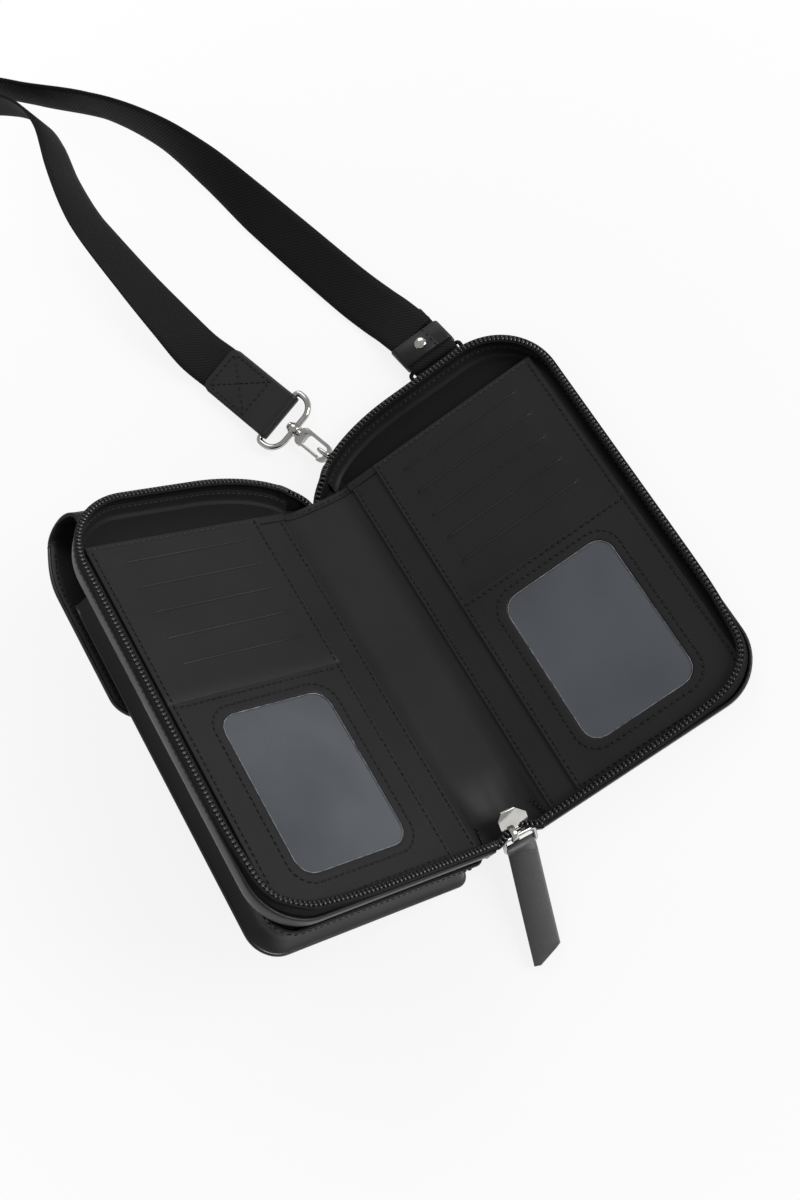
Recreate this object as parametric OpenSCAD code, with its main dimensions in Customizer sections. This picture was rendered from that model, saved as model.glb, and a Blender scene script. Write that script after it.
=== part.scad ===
// Zip-round phone pouch, lying open like a book.
// The right half rests flat on the table. The left half leans on its phone pocket.
// Each half is drawn flat: x runs outward from its spine seam, y towards the top,
// z from the back's outer face up to the zip teeth.

/* [Halves] */
// Width of each half, from the spine seam to its outer edge
half_w = 118; // [105:1:135]
// Depth of each half, from its back to the zip teeth
half_d = 14; // [12:0.5:18]
// Height of the inner leaf along the spine
leaf_h = 182; // [170:1:200]
// How far the shell stands above the leaf's top edge
head_h = 22; // [18:1:28]
// How far the shell stands below the leaf's bottom edge
tail_h = 4; // [3:0.5:8]
// Radius of the outer top corner
top_r = 34; // [24:1:38]
// Radius of the outer bottom corner
bottom_r = 24; // [16:1:30]
// Distance from the spine over which the rim dips
dip_w = 46; // [36:1:50]
// How far the dip's curve would run on past the spine seam
dip_out = 5; // [3.5:0.5:7]
// Thickness of the leather-covered back board
panel_t = 2; // [1.6:0.1:2.2]
// Thickness of the gusset wall
wall_t = 1.6; // [1.2:0.1:2]
// Thickness of the lining
lining_t = 0.5; // [0.4:0.1:0.7]

/* [Zip] */
// Height of the woven tape that shows above the gusset
tape_h = 2.4; // [2:0.1:3]
// Thickness of the tape
tape_t = 0.6; // [0.5:0.1:0.8]
// Width of the coil of teeth on each tape
coil_w = 2.4; // [2:0.1:3]
// Height of the coil of teeth
coil_h = 1.6; // [1.4:0.1:2]
// Width of the slider's plates
slider_w = 10.6; // [9:0.1:10.8]
// Length of the slider's plates
slider_l = 13; // [10:0.5:14]
// Thickness of each slider plate
slider_t = 1.4; // [1.2:0.1:1.8]
// Gap between the slider's plates
slider_gap = 3; // [2.6:0.1:3.4]
// Length of the leather puller
puller_l = 48; // [35:1:60]
// Width of the leather puller
puller_w = 12; // [9:0.5:13]
// Thickness of one layer of the puller
puller_t = 1.5; // [1.2:0.1:1.8]

/* [Leaf and pockets] */
// Distance from the spine seam to the slip panel's edge
slip_in = 8.5; // [7:0.5:12]
// Distance from the spine seam to the card panel's edge
card_in = 22.6; // [21.5:0.1:26]
// Width of the card panel, over a bank card's own width
card_w = 85.3; // [74:0.1:86]
// Distance from the leaf's top edge to the first card slot
slot_first = 11; // [8:0.5:14]
// Distance from one card slot to the next
slot_pitch = 13.4; // [12:0.1:14]
// Number of card slots in each half
slot_count = 5; // [3:1:5]
// Rise of each card slot's edge over the one before
slot_rise = 0.2; // [0.15:0.01:0.24]
// Distance from the leaf's top edge to the seam above the window
seam_down = 81.5; // [79:0.5:86]
// Width of the window in the ID pocket
window_w = 55; // [45:1:60]
// Height of the window in the ID pocket
window_h = 76; // [60:1:78]
// Radius of the window's corners
window_r = 8; // [4:0.5:10]
// Distance from the spine seam to the window
window_in = 37.8; // [34:0.1:40]
// Distance from the leaf's bottom edge to the window
window_up = 14.1; // [10:0.1:15]
// Thickness of one layer of thin leather
thin_t = 0.6; // [0.5:0.05:0.7]
// Thickness of the clear film
film_t = 0.3; // [0.2:0.05:0.4]

/* [Phone pocket] */
// Depth of the phone pocket behind the left half
pocket_d = 19; // [14:0.5:22]
// Distance from the spine seam to the pocket's outer wall
pocket_w = 111; // [95:1:112]
// Distance from the leaf's top edge down to the pocket's mouth
mouth_down = 11; // [6:1:20]
// Thickness of the pocket's walls and front
pocket_t = 1.8; // [1.5:0.1:2.2]
// Radius of the pocket's outer bottom corner
pocket_r = 13; // [8:1:18]
// Distance from the leaf's top edge down to the flap's lower edge
flap_down = 69; // [50:1:80]
// Distance from the spine seam to the flap's outer edge
flap_w = 115; // [108:1:118]
// Thickness of the flap
flap_t = 1.8; // [1.5:0.1:2.2]
// Length of the straight fold along the flap's top
fold_w = 70; // [50:1:74]
// Radius of the flap's lower corners
flap_r = 12; // [8:1:16]
// Radius of the magnets that close the flap
magnet_r = 7; // [5:0.5:9]
// Thickness of the magnets
magnet_t = 1; // [0.6:0.1:1.1]

/* [Strap] */
// Width of the webbing
web_w = 24; // [20:0.5:26]
// Thickness of the webbing
web_t = 1.6; // [1.4:0.1:1.8]
// Length of the sewn leather end
end_l = 44; // [36:1:50]
// Thickness of the leather on the strap's end
end_t = 1.4; // [1.2:0.1:1.5]
// Diameter of the snap hook frame's wire
frame_wire = 3; // [2.6:0.1:3.2]
// Diameter of the wire of the two rings on the pouch
ring_wire = 2; // [1.8:0.1:2.2]
// Width of the leather keeper along the strap
keeper_w = 12; // [8:0.5:14]
// Thickness of the keeper's leather
keeper_t = 1.2; // [1:0.1:1.6]
// Diameter of the keeper's rivet
rivet_d = 6.4; // [5:0.1:8]

/* [Hidden] */

leather = [0.16, 0.16, 0.165];
inner_leather = [0.19, 0.19, 0.195];
cloth = [0.1, 0.1, 0.105];
black = [0.05, 0.05, 0.055];
nickel = [0.78, 0.78, 0.8];
clear = [0.55, 0.6, 0.65, 0.4];

$fn = 32;
// Steps of each drawn arc
arc_steps = 8;
// Overrun of every cut past the face that it opens
over = 1;
// Gap between parts that move past each other
gap = 0.3;
// Radial play of a wire in the tube that it turns in
play = 0.1;
// Height of the strap's lowest edge over the table
lift = 0.1;

// Halves and spine
y_top = leaf_h/2 + head_h;
y_bottom = -leaf_h/2 - tail_h;
spine_w = 2*half_d;
// The phone pocket's inner edge stands on the table, and this sets the lean of the spine
lean = asin((sqrt(spine_w*spine_w + 8*pocket_d*pocket_d) - spine_w)/(4*pocket_d));
// The origin lies under the resting half, half a spine's width outside of its seam
origin_in = spine_w/2;
seam_in = gap/2;
tape_z = half_d - seam_in - tape_h - coil_h;
coil_z = tape_z + tape_h;

// Leaf, slip panel, cards and window, one on the other
leaf_in = 4.2;
leaf_z = half_d/2;
slip_z = leaf_z + thin_t;
card_z = slip_z + thin_t;
film_edge = 3;

// Slider: its middle in the spine's frame, its lean towards the spine's top, and its outline
slider_up = 4.5;
slider_y = slider_up - leaf_h/2;
slider_z = 13;
slider_lean = 35;
nose_share = 0.28;
shoulder_share = 0.15;
tail_share = 0.36;
// Room at the bottom of the spine for the slider when the pouch is shut
notch_share = 0.36;
notch_z = notch_share*half_d;
notch_w = 24;
notch_h = 1.2*slider_l;
tape_end_w = 10;
tape_end_t = 1;
tape_end_h = 4;

// Ring and puller of the slider
pull_wire = 2;
bail_out = 1.3;
bail_r = 1.8;
bail_t = 2;
bail_y = -slider_gap/2 - slider_t - bail_out;
bail_z = -5;
pull_ring_l = 6.5;
pull_ring_w = puller_w + 2*gap + pull_wire;
pull_bend_r = (pull_ring_w - puller_w)/2;
ring_drop = 55;
pull_bar_y = slider_y + bail_y*cos(slider_lean) + bail_z*sin(slider_lean) - pull_ring_l*cos(ring_drop);
pull_bar_h = slider_z - bail_y*sin(slider_lean) + bail_z*cos(slider_lean) - pull_ring_l*sin(ring_drop);
pull_at = [
    -origin_in - spine_w/2*cos(lean) + pull_bar_h*sin(lean),
    pull_bar_y,
    spine_w/2*sin(lean) + pull_bar_h*cos(lean)
];
pull_yaw = 20.6;
pull_dip = 10.5;
tip_share = 0.2;
slant_share = 0.6;

// Phone pocket and its flap, behind the left half
mouth_y = leaf_h/2 - mouth_down;
magnet_x = 58;
magnet_y = 33;
fold_up = 1.3;
fold_in = 24;
fold_y = y_top + fold_up;
root_h = 17;
flap_in = 4;
flap_gap = 0.4;
turn_r = (pocket_d + flap_gap + flap_t)/2;

// Ring for the snap hook, on the dip of the right half
hook_ring_in = 9;
hook_ring_turn = 24.5;
dip_share = (dip_w - hook_ring_in)/(dip_w + dip_out);
hook_ring_y = leaf_h/2 + head_h*sqrt(1 - dip_share*dip_share);
hook_ring_z = 6.2;
hook_ring_w = 10;
hook_ring_l = 6.4;
ring_bend_r = 1.6;
tab_r = 1.9;
tab_h = 6;
tab_out = 2.4;

// Ring for the strap's turned end, on the straight top of the right half
strap_ring_in = 74;
strap_ring_z = 4.7;
strap_ring_l = 5.8;
strap_ring_w = web_w + 2*gap + 2*ring_bend_r;
tab_w = 18;

// Turned end: the webbing runs askew from the ring by this share of its length
skew_share = 0.155;
turned_l = 16;
turned_z = -0.2;
tail_l = 27;
tail_room = 2;
bar_r = ring_wire/2 + gap;
fold_r = bar_r + web_t;
keeper_at = 2.6;
keeper_slope_share = (fold_r - turned_z - web_t/2)/turned_l;
keeper_top = fold_r - keeper_at*keeper_slope_share;
rivet_h = 1.6;
rivet_ball_r = (rivet_d*rivet_d/4 + rivet_h*rivet_h)/(2*rivet_h);

// Snap hook and the leather end that holds its frame, in a line from the ring
hook_z = 4.2;
hook_turn = 16.5;
hook_reach = 32.4;
frame_w = 30;
frame_l = 12;
frame_near_r = 2.2;
frame_far_r = 8;
barrel_r = 3;
barrel_l = 5;
pin_r = 1.2;
pin_head_r = 2.2;
collar_l = 1.2;
body_y = -frame_l - barrel_l/2 - gap;
hook_t = 2.4;
hook_w = 9.5;
hook_r = 4.6;
hook_tip = 3.8;
hook_hole_w = 6;
hook_hole_r = 1.5;
hook_nose = ring_wire/2 + 0.4;
hook_hole_l = 13.8;
gate_x = -3.3;
gate_y = -19.4;
gate_r = 1;
gate_t = 1.6;
gate_l = 12;
end_w = web_w + 1.4;
end_r = 8;
tuck_l = 8;
hook_start = [
    hook_ring_in - origin_in - (tab_out + hook_ring_l)*sin(hook_ring_turn) - hook_reach*sin(hook_turn),
    hook_ring_y + (tab_out + hook_ring_l)*cos(hook_ring_turn) + hook_reach*cos(hook_turn)
];
hook_way = [-sin(hook_turn), cos(hook_turn)];

// Webbing: half of its section's corners, and its route from the leather end to the turned end.
// Each stop is x, y, tilt and raise. The loop beyond the left is a guess: the photo cuts it off.
function ring_end_at(l) = [strap_ring_in - origin_in - skew_share*l, y_top + tab_r + strap_ring_l + l];
band_edge = web_w/2 - web_t/2;
band_outline = [
    [web_w/2, -web_t/4], [web_w/2, web_t/4], [band_edge, web_t/2], [-band_edge, web_t/2],
    [-web_w/2, web_t/4], [-web_w/2, -web_t/4], [-band_edge, -web_t/2], [band_edge, -web_t/2]
];
tuck_raise = end_t + play;
turned_raise = strap_ring_z + turned_z - lift - web_t/2;
route = [
    [each hook_start + (end_l - tuck_l)*hook_way, 0, tuck_raise],
    [each hook_start + end_l*hook_way, 0, tuck_raise],
    [-35, 202, 12, 0],
    [-38, 220, 28, 0],
    [-43, 252, 42, 0],
    [-48, 290, 52, 0],
    [-49, 310, 62, 0],
    [-47, 335, 74, 0],
    [-43, 360, 83, 0],
    [-45, 378, 86, 0],
    [-55, 396, 90, 0],
    [-76, 412, 90, 0],
    [-105, 411, 90, 0],
    [-145, 401, 90, 0],
    [-180, 405, 90, 0],
    [-210, 426, 90, 0],
    [-226, 462, 90, 0],
    [-218, 502, 90, 0],
    [-188, 531, 90, 0],
    [-150, 539, 90, 0],
    [-112, 526, 90, 0],
    [-84, 496, 90, 0],
    [-69, 456, 90, 0],
    [-60, 420, 90, 0],
    [-40, 391, 90, 0],
    [-12, 356, 86, 0],
    [7, 321, 70, 0],
    [19, 285, 48, 0],
    [28, 247, 30, 0],
    [36, 214, 22, 0],
    [45, 178, 16, 0],
    [50.5, 160, 9, 0.6],
    [each ring_end_at(tail_l + tail_room), 0, turned_raise],
    [each ring_end_at(turned_l), 0, turned_raise]
];

// Points on an arc of an ellipse
function arc(cx, cy, rx, ry, from, to) =
    [for (i = [0:arc_steps]) let (t = from + (to - from)*i/arc_steps) [cx + rx*cos(t), cy + ry*sin(t)]];

// Angle at which the inset dip curve meets the spine seam
function dip_turn(inset) = 180 - acos(min(1, dip_w/(dip_w + dip_out - inset)));

// Outline of a half, set in by the inset, from the spine's bottom round to its top
function rim(inset) = concat(
    [[0, y_bottom + inset]],
    arc(half_w - bottom_r, y_bottom + bottom_r, bottom_r - inset, bottom_r - inset, -90, 0),
    arc(half_w - top_r, y_top - top_r, top_r - inset, top_r - inset, 0, 90),
    arc(dip_w, leaf_h/2, dip_w + dip_out - inset, head_h - inset, 90, dip_turn(inset))
);

// The same outline carried on past the spine seam, for cuts
function open_rim(inset) =
    let (line = rim(inset), last = line[len(line) - 1])
    concat([[-over, y_bottom + inset]], line, [[-over, last[1]]]);

// Rectangle with round corners, its lower left corner at the origin
function round_box(w, h, r) = concat(
    arc(w - r, r, r, r, -90, 0),
    arc(w - r, h - r, r, r, 0, 90),
    arc(r, h - r, r, r, 90, 180),
    arc(r, r, r, r, 180, 270)
);

// Places of the halves and of the spine between them
module right_half() {
    translate([-origin_in, 0, 0]) children();
}

module spine_side() {
    right_half() rotate([0, lean, 0]) mirror([1, 0, 0]) children();
}

module left_half() {
    right_half() rotate([0, lean, 0]) translate([-spine_w, 0, 0])
        rotate([0, lean, 0]) mirror([1, 0, 0]) children();
}

// Extrudes an outline drawn in y and z along x, from x0 to x1
module along_x(x0, x1) {
    translate([x0, 0, 0]) rotate([90, 0, 90]) linear_extrude(x1 - x0) children();
}

// Room for the spine's edge when the halves fold shut
module seam_cut() {
    rotate([90, 0, 0]) linear_extrude(2*leaf_h, center = true) polygon([
        [-half_w, -over],
        [seam_in - over, -over],
        [seam_in + panel_t, panel_t],
        [seam_in + panel_t, half_d + over],
        [-half_w, half_d + over]
    ]);
}

// Room for the slider at the bottom of the spine when the halves fold shut
module slider_cut() {
    translate([-over, y_bottom - over, notch_z]) cube([notch_w + over, notch_h + over, half_d]);
}

module half_plate(inset, z0, z1) {
    difference() {
        translate([0, 0, z0]) linear_extrude(z1 - z0) polygon(rim(inset));
        seam_cut();
    }
}

module half_band(outer, inner, z0, z1) {
    difference() {
        translate([0, 0, z0]) linear_extrude(z1 - z0) difference() {
            polygon(rim(outer));
            polygon(open_rim(inner));
        }
        seam_cut();
        slider_cut();
    }
}

module back_panel() {
    half_plate(0, 0, panel_t);
}

module gusset() {
    half_band(0, wall_t, panel_t, tape_z);
}

module lining() {
    half_plate(wall_t, panel_t, panel_t + lining_t);
    half_band(wall_t, wall_t + lining_t, panel_t + lining_t, tape_z);
}

module zip_tape() {
    half_band(coil_w/2 - tape_t/2, coil_w/2 + tape_t/2, tape_z, coil_z);
}

module zip_coil() {
    half_band(0, coil_w, coil_z, coil_z + coil_h);
}

// Outline of a leaf or panel from x0 to x1 and up to y1, trimmed where the lining's corner cuts across it
module leaf_part(x0, x1, y1) {
    intersection() {
        polygon(rim(wall_t + lining_t));
        translate([x0, -leaf_h/2]) square([x1 - x0, y1 + leaf_h/2]);
    }
}

// The leaf reaches the lining at its outer edge and is open along its top, for notes
module leaf() {
    translate([0, 0, leaf_z]) linear_extrude(thin_t) leaf_part(leaf_in, half_w, leaf_h/2);
}

module slip_panel() {
    translate([0, 0, slip_z]) linear_extrude(thin_t) leaf_part(slip_in, card_in + card_w, leaf_h/2);
}

// Layers of thin leather, each with its edge a slot's pitch below the one before
module card_slots() {
    seam_y = leaf_h/2 - seam_down;
    steps = [for (i = [1:slot_count]) leaf_h/2 - slot_first - (i - 1)*slot_pitch];
    stairs = [for (i = [1:slot_count]) each [
        [steps[i - 1], card_z + thin_t + (i - 1)*slot_rise],
        [steps[i - 1], card_z + thin_t + i*slot_rise]
    ]];
    along_x(card_in, card_in + card_w) polygon(concat(
        [[seam_y, card_z], [leaf_h/2, card_z], [leaf_h/2, card_z + thin_t]],
        stairs,
        [[seam_y, card_z + thin_t + slot_count*slot_rise]]
    ));
}

module window_outline(grow) {
    translate([window_in - grow, window_up - leaf_h/2 - grow])
        polygon(round_box(window_w + 2*grow, window_h + 2*grow, window_r + grow));
}

module window_panel() {
    difference() {
        translate([0, 0, card_z]) linear_extrude(thin_t + film_t)
            leaf_part(card_in, card_in + card_w, leaf_h/2 - seam_down);
        translate([0, 0, card_z - over]) linear_extrude(2*over + thin_t + film_t) window_outline(0);
        translate([0, 0, card_z - over]) linear_extrude(over + film_t) window_outline(film_edge + play);
    }
}

module window_film() {
    translate([0, 0, card_z]) linear_extrude(film_t) window_outline(film_edge);
}

module right_back_panel() {
    color(leather) right_half() back_panel();
}

module right_gusset() {
    color(leather) right_half() gusset();
}

module right_lining() {
    color(cloth) right_half() lining();
}

module right_zip_tape() {
    color(black) right_half() zip_tape();
}

module right_zip_coil() {
    color(black) right_half() zip_coil();
}

module right_leaf() {
    color(inner_leather) right_half() leaf();
}

module right_slip_panel() {
    color(inner_leather) right_half() slip_panel();
}

module right_card_slots() {
    color(inner_leather) right_half() card_slots();
}

module right_window_panel() {
    color(inner_leather) right_half() window_panel();
}

module right_window_film() {
    color(clear) right_half() window_film();
}

module left_back_panel() {
    color(leather) left_half() back_panel();
}

module left_gusset() {
    color(leather) left_half() gusset();
}

module left_lining() {
    color(cloth) left_half() lining();
}

module left_zip_tape() {
    color(black) left_half() zip_tape();
}

module left_zip_coil() {
    color(black) left_half() zip_coil();
}

module left_leaf() {
    color(inner_leather) left_half() leaf();
}

module left_slip_panel() {
    color(inner_leather) left_half() slip_panel();
}

module left_card_slots() {
    color(inner_leather) left_half() card_slots();
}

module left_window_panel() {
    color(inner_leather) left_half() window_panel();
}

module left_window_film() {
    color(clear) left_half() window_film();
}

// Strip between the halves, its long edges cut at 45 degrees so that it can fold square
module spine_panel() {
    color(leather) spine_side() rotate([90, 0, 0]) translate([0, 0, -leaf_h/2])
        linear_extrude(leaf_h/2 - y_bottom) polygon([
            [seam_in, 0],
            [spine_w - seam_in, 0],
            [spine_w - seam_in - panel_t, panel_t],
            [seam_in + panel_t, panel_t]
        ]);
}

// Inner strip over the spine, narrow enough to clear the linings when both halves fold square
module spine_leaf() {
    side = seam_in + panel_t + lining_t;
    color(inner_leather) spine_side() translate([side, -leaf_h/2, panel_t])
        cube([spine_w - 2*side, leaf_h, thin_t]);
}

// Folded tape ends that hold the zip to the spine
module zip_end(y) {
    spine_side() translate([spine_w/2 - tape_end_w/2, y, panel_t + thin_t])
        cube([tape_end_w, tape_end_t, tape_end_h]);
}

module zip_end_top() {
    color(black) zip_end(leaf_h/2 - tape_end_t);
}

module zip_end_bottom() {
    color(black) zip_end(slider_y - slider_l/2*sin(slider_lean) - tape_end_t/2);
}

// Slider frame: x across the slider, z along the zip, and the outer plate on its -y side
module at_slider() {
    spine_side() translate([spine_w/2, slider_y, slider_z]) rotate([-slider_lean, 0, 0]) children();
}

module slider_plate() {
    rotate([90, 0, 0]) linear_extrude(slider_t) polygon([
        [-slider_w/2, slider_l*shoulder_share],
        [-slider_w*nose_share, slider_l/2],
        [slider_w*nose_share, slider_l/2],
        [slider_w/2, slider_l*shoulder_share],
        [slider_w*tail_share, -slider_l/2],
        [-slider_w*tail_share, -slider_l/2]
    ]);
}

module zip_slider() {
    color(nickel) at_slider() {
        difference() {
            union() {
                translate([0, -slider_gap/2, 0]) slider_plate();
                translate([0, slider_gap/2 + slider_t, 0]) slider_plate();
                translate([-slider_t, -slider_gap/2 - slider_t/2, slider_l/2 - 3*slider_t])
                    cube([2*slider_t, slider_gap + slider_t, 2*slider_t]);
                translate([-bail_t/2, bail_y - bail_r, bail_z - bail_r])
                    cube([bail_t, -slider_gap/2 - slider_t/2 - bail_y + bail_r, 2*bail_r]);
            }
            translate([-slider_w, bail_y, bail_z]) rotate([0, 90, 0])
                cylinder(h = 2*slider_w, r = pull_wire/2 + play);
        }
    }
}

// Flat loop of round wire, its near bar along x through the origin and its far bar at y = -l
module wire_loop(w, l, near_r, far_r, wire_r) {
    bar(w - 2*near_r, wire_r);
    translate([0, -l, 0]) bar(w - 2*far_r, wire_r);
    for (side = [-1, 1]) {
        translate([side*w/2, -near_r, 0]) rotate([90, 0, 0]) cylinder(h = l - near_r - far_r, r = wire_r);
        translate([side*(w/2 - near_r), -near_r, 0]) bend(near_r, wire_r, side > 0 ? 0 : 90);
        translate([side*(w/2 - far_r), far_r - l, 0]) bend(far_r, wire_r, side > 0 ? 270 : 180);
    }
}

module bar(w, wire_r) {
    translate([-w/2, 0, 0]) rotate([0, 90, 0]) cylinder(h = w, r = wire_r);
}

module bend(r, wire_r, from) {
    rotate([0, 0, from]) rotate_extrude(angle = 90) translate([r, 0]) circle(wire_r);
}

module at_pull_ring() {
    at_slider() translate([0, bail_y, bail_z]) rotate([slider_lean + ring_drop, 0, 0]) children();
}

// Tube or bore along the ring's far bar, which the puller is folded round
module on_pull_bar(w, r) {
    at_pull_ring() translate([0, -pull_ring_l, 0]) along_x(-w/2, w/2) circle(r);
}

module puller_ring() {
    color(nickel) at_pull_ring() wire_loop(pull_ring_w, pull_ring_l, pull_bend_r, pull_bend_r, pull_wire/2);
}

// Leather strip folded round the ring, its end cut at a slant
module puller() {
    color(leather) difference() {
        union() {
            on_pull_bar(puller_w, pull_wire/2 + play + puller_t);
            translate(pull_at) rotate([0, 0, -pull_yaw]) rotate([pull_dip, 0, 0])
                translate([0, 0, -puller_t]) linear_extrude(2*puller_t) polygon([
                    [-puller_w/2, 0],
                    [-puller_w/2, -puller_l],
                    [-puller_w*tip_share, -puller_l],
                    [puller_w/2, -puller_l + puller_w*slant_share],
                    [puller_w/2, 0]
                ]);
        }
        on_pull_bar(2*puller_w, pull_wire/2 + play);
    }
}

function pocket_line(inset) =
    let (low = y_bottom + inset, in_x = seam_in + inset, out_x = pocket_w - inset)
    concat(
        [[in_x, mouth_y]],
        arc(in_x + pocket_r/2, low + pocket_r/2, pocket_r/2, pocket_r/2, 180, 270),
        arc(out_x - pocket_r, low + pocket_r, pocket_r, pocket_r, -90, 0),
        [[out_x, mouth_y]]
    );

// Three walls of the phone pocket, open at the top for the phone
module pocket_gusset() {
    opening = concat(
        [[seam_in + pocket_t, mouth_y + over]],
        pocket_line(pocket_t),
        [[pocket_w - pocket_t, mouth_y + over]]
    );
    color(leather) left_half() translate([0, 0, pocket_t - pocket_d])
        linear_extrude(pocket_d - pocket_t) difference() {
            polygon(pocket_line(0));
            polygon(opening);
        }
}

module pocket_front() {
    color(leather) left_half() difference() {
        translate([0, 0, -pocket_d]) linear_extrude(pocket_t) polygon(pocket_line(0));
        magnet(pocket_t - pocket_d - magnet_t, magnet_r + play, magnet_t + over);
    }
}

module magnet(z, r, h) {
    translate([magnet_x, magnet_y, z]) cylinder(h = h, r = r);
}

module pocket_magnet() {
    color(nickel) left_half() magnet(pocket_t - pocket_d - magnet_t, magnet_r, magnet_t);
}

// Strip of the flap that is sewn to the back
module flap_root() {
    color(leather) left_half() translate([fold_in, fold_y - root_h, -flap_t])
        cube([fold_w, root_h - flap_t/2 - gap, flap_t]);
}

// Round turn of the flap over the pocket's mouth, with a rounded edge at each end
module flap_turn() {
    color(leather) left_half() along_x(fold_in, fold_in + fold_w) {
        intersection() {
            difference() {
                translate([fold_y, -turn_r]) circle(turn_r);
                translate([fold_y, -turn_r]) circle(turn_r - flap_t);
            }
            translate([fold_y, -3*turn_r]) square([2*turn_r, 4*turn_r]);
        }
        translate([fold_y, -flap_t/2]) circle(flap_t/2);
        translate([fold_y, flap_t/2 - 2*turn_r]) circle(flap_t/2);
    }
}

module flap_front() {
    low = leaf_h/2 - flap_down;
    high = fold_y - flap_t/2 - gap;
    color(leather) left_half() difference() {
        translate([0, 0, -2*turn_r]) linear_extrude(flap_t) polygon(concat(
            arc(flap_in + flap_r, low + flap_r, flap_r, flap_r, 180, 270),
            arc(flap_w - flap_r, low + flap_r, flap_r, flap_r, -90, 0),
            arc(fold_in + fold_w, high - top_r, flap_w - fold_in - fold_w, top_r, 0, 90),
            arc(fold_in, high - top_r, fold_in - flap_in, top_r, 90, 180)
        ));
        magnet(flap_t - 2*turn_r - magnet_t, magnet_r + play, magnet_t + over);
    }
}

module flap_magnet() {
    color(nickel) left_half() magnet(flap_t - 2*turn_r - magnet_t, magnet_r, magnet_t);
}

// Ring on the side of the gusset that the snap hook holds: y runs out from the wall
module at_hook_ring() {
    translate([hook_ring_in - origin_in, hook_ring_y, 0]) rotate([0, 0, hook_ring_turn]) children();
}

module hook_ring_tab() {
    color(leather) at_hook_ring() difference() {
        union() {
            translate([0, tab_out, hook_ring_z - tab_h/2]) cylinder(h = tab_h, r = tab_r);
            translate([-tab_r, 0, hook_ring_z - tab_h/2]) cube([2*tab_r, tab_out, tab_h]);
        }
        translate([0, tab_out, 0]) cylinder(h = 2*hook_ring_z, r = ring_wire/2 + play);
    }
}

module hook_ring() {
    color(nickel) at_hook_ring() translate([0, tab_out, hook_ring_z]) rotate([0, 90, 0]) rotate([0, 0, 180])
        wire_loop(hook_ring_w, hook_ring_l, ring_bend_r, ring_bend_r, ring_wire/2);
}

// Ring that the strap's other end is turned round: y runs out from the wall
module at_strap_ring() {
    translate([strap_ring_in - origin_in, y_top + tab_r, strap_ring_z]) children();
}

module strap_ring_tab() {
    color(leather) at_strap_ring() along_x(-tab_w/2, tab_w/2) difference() {
        union() {
            circle(tab_r);
            translate([-tab_r, -tab_r/2]) square([tab_r, tab_r]);
        }
        circle(ring_wire/2 + play);
    }
}

module strap_ring() {
    color(nickel) at_strap_ring() rotate([0, 0, 180])
        wire_loop(strap_ring_w, strap_ring_l, ring_bend_r, ring_bend_r, ring_wire/2);
}

// Turned end of the webbing: y runs out along the strap from the ring's far bar
module at_turned_end() {
    at_strap_ring() translate([0, strap_ring_l, 0])
        multmatrix([[1, -skew_share, 0, 0], [0, 1, 0, 0], [0, 0, 1, 0]]) children();
}

module strap_turned_end() {
    color(cloth) at_turned_end() along_x(-web_w/2, web_w/2) polygon(concat(
        arc(0, 0, fold_r, fold_r, 90, 270),
        [[tail_l, -fold_r], [tail_l, -bar_r]],
        arc(0, 0, bar_r, bar_r, 270, 90),
        [[turned_l, turned_z - web_t/2], [turned_l, turned_z + web_t/2]]
    ));
}

// Leather band that holds the turned end to the webbing, seated on it above and below
module keeper() {
    side_x = web_w/2 + play;
    inner_h = fold_r + keeper_top;
    color(leather) at_turned_end() difference() {
        along_x(-side_x - keeper_t, side_x + keeper_t) translate([keeper_at, -fold_r - keeper_t])
            square([keeper_w, inner_h + 2*keeper_t]);
        along_x(-side_x, side_x) translate([keeper_at - over, -fold_r])
            square([keeper_w + 2*over, inner_h]);
    }
}

module at_keeper_rivet() {
    rivet_y = keeper_at + keeper_w/2;
    at_strap_ring() translate([-skew_share*rivet_y, strap_ring_l + rivet_y, keeper_top + keeper_t])
        children();
}

module keeper_rivet() {
    color(nickel) at_keeper_rivet() intersection() {
        translate([0, 0, rivet_h - rivet_ball_r]) sphere(rivet_ball_r);
        cylinder(h = rivet_h, r = rivet_d/2);
    }
}

// Snap hook frame: x along the frame's bar, y up the strap, and the hook towards -y
module at_hook() {
    translate([hook_start[0], hook_start[1], hook_z]) rotate([0, 0, hook_turn]) children();
}

// Leather folded round the frame's bar and sewn over the webbing's end
module strap_leather_end() {
    wrap_r = frame_wire/2 + play + end_t;
    flat_z = lift - hook_z;
    flat_t = 2*end_t + web_t + 2*play;
    color(leather) at_hook() difference() {
        intersection() {
            along_x(-end_w/2, end_w/2) hull() {
                circle(wrap_r);
                translate([2*wrap_r, flat_z]) square([end_l - 2*wrap_r, flat_t]);
            }
            translate([0, 0, -2*hook_z]) linear_extrude(4*hook_z) polygon(concat(
                [[-end_w/2, -wrap_r], [end_w/2, -wrap_r]],
                arc(end_w/2 - end_r, end_l - end_r, end_r, end_r, 0, 90),
                arc(end_r - end_w/2, end_l - end_r, end_r, end_r, 90, 180)
            ));
        }
        along_x(-end_w, end_w) circle(frame_wire/2 + play);
        along_x(-end_w, end_w) translate([end_l - tuck_l, flat_z + end_t])
            square([2*tuck_l, web_t + 2*play]);
    }
}

module hook_frame() {
    color(nickel) at_hook() difference() {
        union() {
            wire_loop(frame_w, frame_l, frame_near_r, frame_far_r, frame_wire/2);
            translate([0, barrel_l/2 - frame_l, 0]) rotate([90, 0, 0]) cylinder(h = barrel_l, r = barrel_r);
        }
        translate([0, barrel_l - frame_l, 0]) rotate([90, 0, 0]) cylinder(h = 2*barrel_l, r = pin_r + play);
    }
}

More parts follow.
